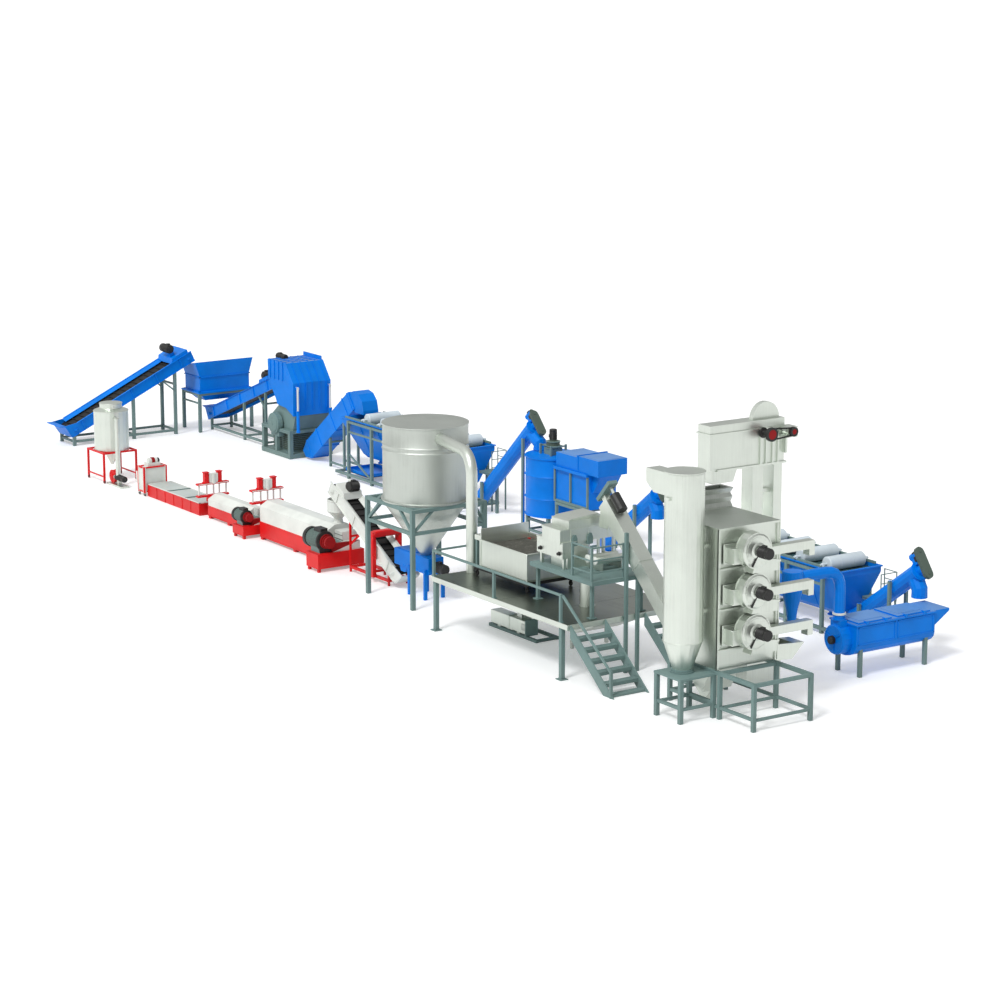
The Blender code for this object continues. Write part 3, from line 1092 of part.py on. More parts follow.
def silo():
    """Blending silo: shell with cone, flat roof, braced frame, filling pipe and blue feeder."""
    place = station("silo_station", SILO_X, SILO_Y)
    radius = SILO_RADIUS
    base = SILO_FRAME_Z + CLEAR
    tip = SILO_CONE_TIP_Z
    mouth = 0.2
    band = base + 2.05
    outer = [(mouth, tip), (radius - 0.12, base - 0.28), (radius - 0.12, base), (radius + 0.08, base), (radius + 0.08, base + 0.06),
             (radius, base + 0.07), (radius, band), (radius + 0.035, band + 0.05), (radius, band + 0.1),
             (radius, band + 0.2), (radius + 0.035, band + 0.25), (radius, band + 0.3),
             (radius, SILO_TOP_Z)]
    inner = [(radius - SHEET, SILO_TOP_Z), (radius - SHEET, base + 0.1),
             (radius - 0.12 - SHEET, base + 0.02), (radius - 0.12 - SHEET, base - 0.26), (mouth - SHEET, tip)]
    piece("silo", [turned((0, 0, 0), "z", outer + inner, VESSEL_SIDES, closed=True)], STEEL, place, smooth=True)
    lid = SILO_TOP_Z + CLEAR
    roof = [(radius + 0.03, lid), (radius + 0.03, lid + 0.05), (0.1, lid + 0.09)]
    piece("silo_roof", [turned((0, 0, 0), "z", roof, VESSEL_SIDES)], STEEL, place)
    half = SILO_FRAME / 2 - POST / 2
    top = SILO_FRAME_Z
    frame = []
    for a in (-half, half):
        for b in (-half, half):
            frame.append(post(a, b, top - 0.004, POST * 1.1))
    beam = 0.15
    mid = top - 0.97
    for level, size in ((top - beam / 2, beam), (mid, beam * 0.9)):
        for b in (-half, half):
            frame.append(bar((-half, b, level), (half, b, level), size))
            frame.append(bar((b, -half, level - 0.004), (b, half, level - 0.004), size * 0.96))
    for b in (-half, half):
        for side in (-1, 1):
            frame.append(bar((side * half, b, mid), (side * half * 0.42, b, top - 0.08), 0.1))
            frame.append(bar((b, side * half, mid), (b, side * half * 0.42, top - 0.085), 0.095))
    corner = half * 0.58
    for a in (-1, 1):
        for b in (-1, 1):
            frame.append(bar((a * half, b * corner, top - 0.08), (a * corner, b * half, top - 0.083), 0.12, 0.13))
    piece("silo_frame", frame, GREY, place)
    pipe_x, pipe_y = 13.3 - SILO_X, -7.0 - SILO_Y
    reach = hypot(pipe_x, pipe_y)
    toward = (pipe_x / reach, pipe_y / reach)
    start_r = radius + CLEAR * 2
    level = SILO_TOP_Z - 0.35
    high = (pipe_x, pipe_y, level)
    start = (toward[0] * start_r, toward[1] * start_r, level)
    bottom = (pipe_x, pipe_y, DECK_Z + CLEAR)
    route = [start] + elbow(high, start, bottom, 0.75, 5) + [bottom]
    piece("silo_pipe", [pipe(route, 0.19, 12)], STEEL, place, smooth=True)
    feeder()


def feeder():
    """Blue feeder under the silo's cone, on four legs, with its motor."""
    place = station("feeder_station", SILO_X, SILO_Y)
    top = SILO_CONE_TIP_Z - CLEAR
    solids = [prism([(-1.85, 1.05), (0.75, 1.05), (0.75, top), (-1.85, top)], "y", (-0.36, 0.36)),
              prism([(-1.6, 1.1), (-0.9, 1.1), (-1.15, 0.8), (-1.45, 0.8)], "y", (-0.3, 0.3)),
              motor((0.7, 0, 1.35), "x", 0.2, 0.75)]
    for a in (-0.6, 0.6):
        for b in (-0.42, 0.42):
            solids.append(box((a - 0.05, a + 0.05), (b - 0.07, b + 0.07), (0, 1.25)))
    piece("silo_feeder", solids, BLUE, place)


def red_conveyor():
    """White-sided belt conveyor to extruder 1, in a red frame with a detector arch."""
    place = station("pellet_feed_station", 6.45, EXTRUDER_Y, 180)
    slope = radians(28.5)
    tail_z = 0.23
    legs = (0.45, 2.2, 3.5)
    frame = belt_conveyor("pellet_feed", place, 5.3, slope, tail_z, 0.9, legs, 0.08, WHITE, 0.8,
                          lip=(0.3, 0.6), flare=0)
    at = slope_map((0, tail_z), slope)
    ax, az = at(1.9, BELT_SIDE)
    for b in (-0.62, 0.62):
        frame.append(box((ax - 0.13, ax + 0.13), (b - 0.08, b + 0.08), (RAIL_LIFT, az + 0.35)))
    frame.append(box((ax - 0.14, ax + 0.14), (-0.69, 0.69), (az + 0.28, az + 0.5)))
    for b in (-0.4, 0.4):
        frame.append(bar((ax, b * 1.5, RAIL_LIFT), (ax, b * 0.9, RAIL_LIFT), 0.07))
    piece("pellet_feed_frame", frame, RED, place)


def extruder(number, x0, base_z, cover_z, motor_x, half, motor_size, feed_bin):
    """Pelletizing extruder: red base with drive stand and screen changer, white cover, side motor."""
    place = station("extruder_%d_station" % number, 0, EXTRUDER_Y)
    foot = 0.12
    stand_x = (motor_x - 0.45, motor_x + 0.53)
    x1 = stand_x[0] + 0.03
    solids = [box((x0, x1), (-half, half), (foot, base_z))]
    for a in (x0 + 0.15, (x0 + x1) / 2, x1 - 0.3):
        for b in (-half + 0.1, half - 0.1):
            solids.append(box((a - 0.1, a + 0.1), (b - 0.09, b + 0.09), (0, foot + 0.02)))
    stand_y = (-half - 1.12 * motor_size, half - 0.1)
    solids.append(box(stand_x, stand_y, (0.15, base_z - 0.03)))
    for a in inset(stand_x, 0.1):
        for b in inset(stand_y, 0.1):
            solids.append(box((a - 0.06, a + 0.06), (b - 0.06, b + 0.06), (0, 0.2)))
    changer_x = x0 - 0.45
    shelf_z = cover_z - 0.18
    solids.append(box((x0 - 0.2, x0 + 0.05), (-0.3, 0.3), (foot + 0.1, shelf_z)))
    solids.append(box((changer_x - 0.08, x0), (-0.29, 0.29), (shelf_z - 0.27, shelf_z)))
    solids.append(box((changer_x - 0.14, changer_x + 0.12), (-0.8, 0.8), (shelf_z - 0.04, shelf_z + 0.04)))
    solids.append(box((changer_x - 0.14, changer_x + 0.12), (-0.8, 0.8), (shelf_z + 0.52, shelf_z + 0.6)))
    for b in (-0.7, -0.3, 0.05, 0.35, 0.7):
        solids.append(box((changer_x - 0.03, changer_x + 0.03), (b - 0.03, b + 0.03), (shelf_z, shelf_z + 0.55)))
    for b in (-0.34, 0.34):
        solids.append(box((changer_x - 0.1, changer_x + 0.1), (b - 0.1, b + 0.1), (shelf_z + 0.56, shelf_z + 1.1)))
    solids.append(turned((changer_x, 0.02, shelf_z + 0.55), "z", [(0.16, 0), (0.16, 0.45)], 12))
    piece("extruder_%d_base" % number, solids, RED, place)
    low = base_z + CLEAR
    outline = [(-half, low), (half, low), (half, cover_z - 0.2), (half - 0.3, cover_z), (-half + 0.35, cover_z), (-half - 0.02, cover_z - 0.22)]
    cover = loft([[(x0 + 0.06, b, c) for b, c in outline], [(stand_x[0] - 0.08, b, c) for b, c in outline]])
    covers = [cover]
    if feed_bin:
        seat_z = cover_z - 0.02
        rim = cover_z + 1.03
        profile = [(0.22, seat_z), (0.18, cover_z + 0.2), (0.42, cover_z + 0.45), (0.48, cover_z + 0.5), (0.48, rim),
                   (0.44, rim), (0.44, cover_z + 0.55), (0.2, cover_z + 0.4)]
        covers.append(turned((motor_x - 0.78, 0.05, 0), "z", profile, 20))
    piece("extruder_%d_cover" % number, covers, WHITE, place)
    drive = []
    size = motor_size
    axis_z = base_z + 0.46 * size
    seat = base_z - 0.03 + CLEAR
    my = -half - 0.62 * size
    shell = [(0.36, 0), (0.42, 0.06), (0.42, 0.2), (0.38, 0.2), (0.38, 1.1), (0.42, 1.1), (0.42, 1.2), (0.22, 1.24),
             (0.22, 1.5), (0.26, 1.5), (0.26, 1.62)]
    shell = [(radius * size, along * size) for radius, along in shell]
    drive.append(turned((motor_x - 0.9 * size, my, axis_z), "x", shell, 14))
    drive.append(box((motor_x - 0.4 * size, motor_x + 0.35 * size), (my - 0.3 * size, my + 0.3 * size), (seat, axis_z - 0.2 * size)))
    drive.append(box((motor_x - 0.35 * size, motor_x + 0.2 * size), (my - 0.16 * size, my + 0.16 * size),
                     (axis_z + 0.3 * size, axis_z + 0.5 * size)))
    drive.append(box((motor_x - 0.3, motor_x + 0.45), (my + 0.25 * size, half - 0.25), (seat, axis_z - 0.12 * size)))
    drive.append(box((motor_x - 0.3, motor_x + 0.3), (-half + 0.2, half - 0.3), (axis_z - 0.2 * size, axis_z + 0.28)))
    piece("extruder_%d_drive" % number, drive, GREY, place)


def cooling_bath():
    """Long water bath with panelled sides and two crossbars."""
    place = station("bath_station", 0, EXTRUDER_Y)
    x = (BATH_X0, BATH_X1)
    y = (-0.62, 0.62)
    levels = [(inset(x, 0.02), inset(y, 0.02), 0.0), (x, y, 0.1), (x, y, 0.58)]
    solids = [hopper(levels, 0.05, floor=True)]
    panels = 6
    for k in range(panels + 1):
        a = x[0] + 0.05 + k * (x[1] - x[0] - 0.1) / panels
        solids.append(box((a - 0.03, a + 0.03), (y[0] - 0.02, y[0] + 0.03), (0.03, 0.55)))
    for a in (-13.4, -11.6):
        solids.append(box((a - 0.04, a + 0.04), (y[0] + 0.01, y[1] - 0.01), (0.5, 0.62)))
    piece("cooling_bath", solids, RED, place)


def strand_cutter():
    """Strand cutter cabinet on casters, with a fan on top and a stub to the blower."""
    place = station("cutter_station", -15.85, EXTRUDER_Y)
    x, y = (-0.22, 0.36), (-0.75, 0.4)
    low, top = 0.2, 1.35
    solids = [box(x, y, (low, top))]
    for a in (x[0] + 0.02, x[1] - 0.02):
        for b in (y[0] + 0.02, y[1] - 0.02):
            solids.append(box((a - 0.06, a + 0.06), (b - 0.06, b + 0.06), (low - 0.06, top + 0.04)))
            solids.append(turned((a, b, 0.08), "y", [(0.08, -0.03), (0.08, 0.03)], 8))
            solids.append(box((a - 0.02, a + 0.02), (b - 0.025, b + 0.025), (0.1, low)))
    for b in (y[0] + 0.02, y[1] - 0.02):
        solids.append(box(x, (b - 0.04, b + 0.04), (top - 0.05, top + 0.03)))
    solids.append(box((-0.12, 0.3), (-0.5, 0.15), (top - 0.02, top + 0.2)))
    solids.append(turned((0.08, -0.4, top + 0.26), "y", [(0.15, 0), (0.15, 0.45)], 12))
    solids.append(box((-1.1, -0.16), (-0.45, 0.2), (0.4, 0.95)))
    piece("strand_cutter", solids, WHITE, place)


def small_silo():
    """Pellet silo on a caster frame, with its blower and riser pipe."""
    place = station("pellet_silo_station", SMALL_SILO_X, SMALL_SILO_Y)
    radius = 0.84
    ring_z = 1.5
    low = ring_z + CLEAR
    profile = [(0.06, 0.72), (radius * 0.45, 1.35), (radius * 0.5, low - 0.04), (radius * 0.5, low), (radius + 0.0, low), (radius, 3.42),
               (radius - 0.3, 3.54), (radius - 0.3, 3.74), (radius - 0.34, 3.78)]
    piece("pellet_silo", [turned((0, 0, 0), "z", profile, 24)], STEEL, place, smooth=True)
    half = 0.86
    frame = []
    for a in (-half, half):
        for b in (-half, half):
            frame.append(box((a - 0.045, a + 0.045), (b - 0.045, b + 0.045), (0.12, ring_z - 0.003)))
            frame.append(turned((a, b, 0.09), "y", [(0.09, -0.03), (0.09, 0.03)], 8))
    for b in (-half, half):
        frame.append(bar((-half, b, ring_z - 0.04), (half, b, ring_z - 0.04), 0.08))
        frame.append(bar((b, -half, ring_z - 0.042), (b, half, ring_z - 0.042), 0.078))
        frame.append(bar((-half, b, 0.32), (half, b, 0.32), 0.06))
    for a in (-1, 1):
        frame.append(bar((a * half, -half * 0.25, ring_z - 0.04), (a * half * 0.25, -half, ring_z - 0.041), 0.07))
        frame.append(bar((a * half, half * 0.25, ring_z - 0.04), (a * half * 0.25, half, ring_z - 0.041), 0.07))
    piece("pellet_silo_frame", frame, RED, place)
    bx, by = 1.75, -0.55
    blower = [turned((bx - 0.45, by, 0.42), "y", [(0.3, -0.1), (0.3, 0.1)], 20),
              box((bx - 0.75, bx + 0.75), (by - 0.25, by + 0.2), (0.0, 0.1)),
              box((bx - 0.6, bx - 0.3), (by - 0.08, by + 0.08), (0.05, 0.4)),
              motor((bx - 0.4, by, 0.42), "x", 0.14, 1.1),
              box((bx + 0.0, bx + 0.2), (by - 0.08, by + 0.08), (0.05, 0.35)),
              pipe([(bx, by, 0.45), (bx, by, 3.3)], 0.12, 12)]
    blower.append(pipe([(bx, by, 3.25), (radius + 0.002, -0.195, 3.12)], 0.1, 10))
    piece("pellet_blower", blower, STEEL, place)


def blue_duct():
    """Blue air duct from the dewatering machine's fan to a small cyclone."""
    place = station("duct_station", DEWATERER_X + DUCT_OFFSET, DEWATERER_Y)
    low = DEWATERER_TOP_Z + 0.1 + CLEAR
    start = (0.0, -0.18, low)
    level = 3.95
    corner = (0.0, -0.18, level)
    far = (0.0, -2.42, level)
    route = [start] + elbow(corner, start, far, 0.7, 5) + [far]
    profile = [(0.14, 2.2), (0.2, 2.75), (0.38, 3.5), (0.38, 4.2), (0.36, 4.22)]
    solids = [pipe(route, 0.215, 12), turned((0, far[1], 0), "z", profile, 16),
              turned((0, start[1], 0), "z", [(0.27, low), (0.27, low + 0.05)], 14)]
    piece("blue_duct", solids, BLUE, place)


def centre_on_footprint():
    """Put the origin under the middle of the line's bounding box, on the floor."""
    bpy.context.view_layer.update()
    graph = bpy.context.evaluated_depsgraph_get()
    low, high = Vector((1e9, 1e9)), Vector((-1e9, -1e9))
    for made in bpy.data.objects:
        if made.type != "MESH" or made.hide_render:
            continue
        shape = made.evaluated_get(graph)
        for corner in shape.bound_box:
            point = shape.matrix_world @ Vector(corner)
            low = Vector((min(low.x, point.x), min(low.y, point.y)))
            high = Vector((max(high.x, point.x), max(high.y, point.y)))
    middle = (low + high) / 2
    bpy.data.objects["washing_line"].location = (-middle.x, -middle.y, 0)


def build():
    for old in list(bpy.data.objects):
        bpy.data.objects.remove(old)
    root = bpy.data.objects.new("washing_line", None)
    bpy.context.scene.collection.objects.link(root)
    infeed_conveyor()
    bunker()
    feed_conveyor()
    shredder()
    screw_washer()
    float_tank(1, TANK_1_X, TANK_1_RIM_Z, True)
    screw_2()
    wash_drum()
    box_washer()
    screw_3()
    float_tank(2, TANK_2_X, TANK_2_RIM_Z, False)
    screw_4()
    dewatering_machine()
    blue_duct()
    dryer()
    dryer_frame()
    cyclone()
    elevator()
    sorting_screw()
    platform()
    sorter()
    vat()
    under_deck()
    silo()
    red_conveyor()
    extruder(1, -4.55, 0.82, 1.72, 1.93, 0.62, 1.0, True)
    extruder(2, -9.62, 0.6, 1.12, -5.35, 0.5, 0.72, False)
    cooling_bath()
    strand_cutter()
    small_silo()
    centre_on_footprint()


build()
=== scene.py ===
"""Looks of the plastic washing line: finishes, fittings, light, floor and camera.

Lengths are written in metres of the real line, as in the CAD source, and place() turns
them into the model's own metres. X runs along the line towards the drying tower, Y runs
across it from the pelletizing row to the washing row, Z is up.
"""
from math import atan2, cos, hypot, pi, radians, sin

import bmesh
import bpy
from mathutils import Matrix, Vector


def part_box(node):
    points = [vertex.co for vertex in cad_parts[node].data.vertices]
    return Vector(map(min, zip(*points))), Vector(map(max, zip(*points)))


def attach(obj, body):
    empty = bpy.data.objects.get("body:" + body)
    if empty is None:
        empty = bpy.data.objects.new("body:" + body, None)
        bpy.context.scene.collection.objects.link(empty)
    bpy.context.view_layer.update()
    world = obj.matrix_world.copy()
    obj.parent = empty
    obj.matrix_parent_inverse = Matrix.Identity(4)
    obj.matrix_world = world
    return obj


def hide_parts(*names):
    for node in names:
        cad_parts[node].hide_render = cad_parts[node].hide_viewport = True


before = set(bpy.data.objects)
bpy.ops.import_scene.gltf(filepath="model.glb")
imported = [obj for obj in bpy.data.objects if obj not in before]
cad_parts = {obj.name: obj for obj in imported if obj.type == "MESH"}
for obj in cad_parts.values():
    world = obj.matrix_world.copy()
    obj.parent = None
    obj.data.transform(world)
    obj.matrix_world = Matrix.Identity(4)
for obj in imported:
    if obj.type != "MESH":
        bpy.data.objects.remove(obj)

MODEL_SCALE = 0.5
TANK_1_CORNER = (-14.4, 3.65)    # low corner of float tank 1, which sets where the model lies

CAMERA_AT = (101.5, -65.0, 27.74)
CAMERA_TURN = radians(33.92)
CAMERA_TILT = radians(12.15)
CAMERA_LENS = 100.8
BRIGHT_SIDE = (-0.22, -0.80, 0.56)    # direction from which the studio's sky is brightest

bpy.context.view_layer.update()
tank_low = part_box("float_tank_1")[0]
SHIFT = Vector((tank_low.x - TANK_1_CORNER[0] * MODEL_SCALE, tank_low.y - TANK_1_CORNER[1] * MODEL_SCALE, 0))


def place(x, y, z):
    """Point of the real line, in the model's frame."""
    return Vector((x, y, z)) * MODEL_SCALE + SHIFT


def real(point):
    """Point of the model's frame, in metres of the real line."""
    return (Vector(point) - SHIFT) / MODEL_SCALE


def put(name, data):
    """New object in the scene."""
    made = bpy.data.objects.new(name, data)
    bpy.context.scene.collection.objects.link(made)
    return made


# Materials

class Nodes:
    """Short way to add and link the shader nodes of a material or a world."""

    def __init__(self, owner):
        self.owner = owner
        owner.use_nodes = True
        self.tree = owner.node_tree
        self.shader = self.tree.nodes.get("Principled BSDF")

    def add(self, kind, **values):
        node = self.tree.nodes.new(kind)
        for key, value in values.items():
            if hasattr(node, key):
                setattr(node, key, value)
            else:
                node.inputs[key.replace("_", " ")].default_value = value
        return node

    def link(self, source, output, target, socket):
        self.tree.links.new(source.outputs[output], target.inputs[socket])

    def place(self, stretch=(1, 1, 1)):
        """Coordinates of the surface in the model's frame, stretched along the axes."""
        where = self.add("ShaderNodeTexCoord")
        mapping = self.add("ShaderNodeMapping", Scale=stretch)
        self.link(where, "Object", mapping, "Vector")
        return mapping

    def noise(self, scale, detail=4.0, stretch=(1, 1, 1), roughness=0.55):
        noise = self.add("ShaderNodeTexNoise", Scale=scale, Detail=detail, Roughness=roughness)
        self.link(self.place(stretch), "Vector", noise, "Vector")
        return noise

    def ramp(self, source, output, stops):
        ramp = self.add("ShaderNodeValToRGB")
        elements = ramp.color_ramp.elements
        while len(elements) < len(stops):
            elements.new(0.5)
        for element, (at, colour) in zip(elements, stops):
            element.position = at
            element.color = colour if len(colour) == 4 else (*colour, 1.0)
        self.link(source, output, ramp, "Fac")
        return ramp

    def gloss(self, source, output, low, high):
        """Uneven gloss: the surface's roughness between low and high."""
        spread = self.add("ShaderNodeMapRange", To_Min=low, To_Max=high)
        self.link(source, output, spread, "Value")
        self.link(spread, "Result", self.shader, "Roughness")

    def bump(self, source, output, strength, distance):
        bump = self.add("ShaderNodeBump", Strength=strength, Distance=distance)
        self.link(source, output, bump, "Height")
        self.link(bump, "Normal", self.shader, "Normal")
        return bump


def shade(colour, factor):
    return tuple(min(channel * factor, 1.0) for channel in colour)


def paint(name, colour, dirt, roughness=0.38, shine=0.16):
    """Sprayed gloss paint: faint orange peel, uneven gloss, and dust low on each machine."""
    n = Nodes(bpy.data.materials.new(name))
    patches = n.noise(1.6, 5.0)
    tint = n.ramp(patches, "Fac", [(0.3, shade(colour, 0.88)), (0.5, colour), (0.72, shade(colour, 1.1))])
    height = n.add("ShaderNodeSeparateXYZ")
    n.link(n.place(), "Vector", height, "Vector")
    rise = n.add("ShaderNodeMapRange", From_Min=0.0, From_Max=0.55, To_Min=0.22, To_Max=0.0)
    n.link(height, "Z", rise, "Value")
    specks = n.noise(14.0, 6.0)
    soil = n.add("ShaderNodeMath", operation="MULTIPLY")
    n.link(rise, "Result", soil, 0)
    n.link(specks, "Fac", soil, 1)
    mix = n.add("ShaderNodeMix", data_type="RGBA")
    n.link(soil, "Value", mix, "Factor")
    n.link(tint, "Color", mix, 6)
    mix.inputs[7].default_value = (*dirt, 1.0)
    n.link(mix, 2, n.shader, "Base Color")
    n.gloss(n.noise(5.0, 4.0), "Fac", roughness - 0.08, roughness + 0.12)
    n.shader.inputs["Specular IOR Level"].default_value = shine
    n.bump(n.noise(120.0, 2.0), "Fac", 0.06, 0.004)
    return n.owner


def brushed(name, colour, dark, roughness, stretch, streak=0.5):
    """Brushed stainless sheet: fine parallel grain, faint oil-canning and handling marks."""
    n = Nodes(bpy.data.materials.new(name))
    grain = n.noise(30.0, 6.0, stretch, 0.65)
    cloud = n.noise(1.1, 4.0)
    both = n.add("ShaderNodeMix", data_type="FLOAT", Factor=streak)
    n.link(cloud, "Fac", both, "A")
    n.link(grain, "Fac", both, "B")
    tint = n.ramp(both, "Result", [(0.30, dark), (0.48, colour), (0.70, shade(colour, 1.08))])
    n.link(tint, "Color", n.shader, "Base Color")
    n.shader.inputs["Metallic"].default_value = 1.0
    n.gloss(both, "Result", roughness - 0.08, roughness + 0.14)
    waves = n.noise(1.7, 3.0)
    sum_up = n.add("ShaderNodeMath", operation="MULTIPLY_ADD")
    n.link(grain, "Fac", sum_up, 0)
    sum_up.inputs[1].default_value = 0.06
    n.link(waves, "Fac", sum_up, 2)
    n.bump(sum_up, "Value", 0.22, 0.03)
    return n.owner


def rubber(name, colour, roughness=0.7):
    """Black rubber or cast iron with worn grey patches."""
    n = Nodes(bpy.data.materials.new(name))
    wear = n.noise(9.0, 6.0)
    tint = n.ramp(wear, "Fac", [(0.35, colour), (0.6, shade(colour, 1.7)), (0.8, shade(colour, 3.2))])
    n.link(tint, "Color", n.shader, "Base Color")
    n.gloss(wear, "Fac", roughness - 0.15, roughness + 0.15)
    n.bump(n.noise(90.0, 3.0), "Fac", 0.25, 0.004)
    return n.owner


def water(name, colour, clear):
    """Rippled water: a deep tint with a bright, smooth surface."""
    n = Nodes(bpy.data.materials.new(name))
    tint = n.ramp(n.noise(2.2, 4.0), "Fac", [(0.3, shade(colour, 0.8)), (0.6, colour), (0.8, clear)])
    n.link(tint, "Color", n.shader, "Base Color")
    n.shader.inputs["Roughness"].default_value = 0.08
    n.bump(n.noise(26.0, 4.0), "Fac", 0.25, 0.006)
    return n.owner


# Grain of the brushed sheet: stretched upright or along the line
UP = (1, 1, 0.04)
ALONG = (0.04, 1, 1)

BLUE = paint("blue_gloss_paint", (0.0, 0.195, 0.74), (0.05, 0.22, 0.55), 0.36)
GREY = paint("grey_frame_paint", (0.165, 0.25, 0.24), (0.24, 0.25, 0.22), 0.46)
DARK_GREY = paint("dark_guard_paint", (0.085, 0.115, 0.095), (0.14, 0.15, 0.13), 0.46)
RED = paint("red_gloss_paint", (0.70, 0.006, 0.008), (0.30, 0.10, 0.09), 0.34, 0.25)
DARK_RED = paint("dark_red_paint", (0.30, 0.01, 0.012), (0.12, 0.05, 0.05), 0.42)
WHITE = paint("white_cover_paint", (0.72, 0.75, 0.705), (0.52, 0.52, 0.49), 0.36, 0.3)
PALE = paint("pale_drum_paint", (0.60, 0.68, 0.73), (0.42, 0.46, 0.49), 0.40, 0.3)
STEEL = brushed("stainless_upright_grain", (0.67, 0.715, 0.655), (0.585, 0.625, 0.57), 0.36, UP, 0.35)
STEEL_ALONG = brushed("stainless_level_grain", (0.65, 0.695, 0.635), (0.56, 0.60, 0.545), 0.36, ALONG, 0.35)
DECK = brushed("deck_plate", (0.27, 0.30, 0.255), (0.14, 0.16, 0.13), 0.30, ALONG)
SILO_STEEL = brushed("stainless_dull_shell", (0.53, 0.565, 0.525), (0.42, 0.45, 0.41), 0.46, UP, 0.35)
# Lighter blue for upward faces, lids and hatches of the blue machines: painted sheen on the tops.
BLUE_SHEEN_TOP = paint("blue_paint_painted_sheen_top", (0.10, 0.265, 0.60), (0.20, 0.30, 0.48), 0.42, 0.4)
FINS = paint("motor_body_paint", (0.12, 0.17, 0.155), (0.14, 0.16, 0.14), 0.42)
BLACK = rubber("black_rubber", (0.006, 0.006, 0.006))
IRON = rubber("black_motor_casting", (0.008, 0.008, 0.0075), 0.5)
SEAM = rubber("dark_panel_joint", (0.035, 0.038, 0.032), 0.6)
SCREEN = rubber("dark_screen_mesh", (0.085, 0.085, 0.072), 0.5)
WATER = water("wash_water", (0.06, 0.13, 0.14), (0.16, 0.24, 0.24))
BATH = paint("bath_cover_sheet", (0.56, 0.62, 0.58), (0.40, 0.43, 0.40), 0.34, 0.5)

# CAD nodes by finish
FINISH = (
    (BLUE, "blue_duct box_washer bunker dewatering_machine feed_trough float_tank_1 float_tank_2 "
           "infeed_trough screw_conveyor_2 screw_conveyor_3 screw_conveyor_4 screw_washer shredder_hood "
           "silo_feeder wash_drum wash_drum_roof"),
    (GREY, "bunker_frame drum_frame dryer_frame feed_frame float_frame_1 float_frame_2 infeed_frame "
           "shredder_base silo_frame upper_platform stair_1 stair_2 extruder_1_drive extruder_2_drive"),
    (RED, "cooling_bath extruder_1_base extruder_2_base pellet_feed_frame pellet_silo_frame"),
    (WHITE, "extruder_1_cover extruder_2_cover strand_cutter pellet_feed_trough"),
    (PALE, "float_drums_1 float_drums_2"),
    (BLACK, "feed_belt infeed_belt pellet_feed_belt"),
    (DECK, "platform_deck"),
    (STEEL, "cyclone dryer_blower_1 dryer_blower_2 dryer_blower_3 dryer_tower elevator pellet_blower "
            "pellet_silo silo_pipe sorter sorting_screw vat"),
    (SILO_STEEL, "process_tank silo silo_roof"),
)

for finish, names in FINISH:
    for name in names.split():
        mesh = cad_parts[name].data
        mesh.materials.clear()
        mesh.materials.append(finish)


def recolour(name, finish, test):
    """Give the faces of a CAD node another finish where test(centre, normal) holds."""
    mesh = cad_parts[name].data
    mesh.materials.append(finish)
    slot = len(mesh.materials) - 1
    for face in mesh.polygons:
        if test(real(face.center), face.normal):
            face.material_index = slot


def flank(side, near, far):
    """Span from near to far on the side (-1 or 1) of the middle."""
    return sorted((side * near, side * far))


def about(middle, reach):
    """Span of reach to each side of a middle."""
    return (middle - reach, middle + reach)


def slope_map(start, slope):
    """Function from (along, square to the slope) to (x, z) for an inclined machine."""
    def at(along, up):
        x = start[0] + along * cos(slope) - up * sin(slope)
        return (x, start[1] + along * sin(slope) + up * cos(slope))
    return at


def slab(on, along, up):
    """Outline of a slab on a slope, from its span along it and its span square to it."""
    return [on(a, b) for a, b in zip((along[0], along[1], along[1], along[0]), (up[0], up[0], up[1], up[1]))]


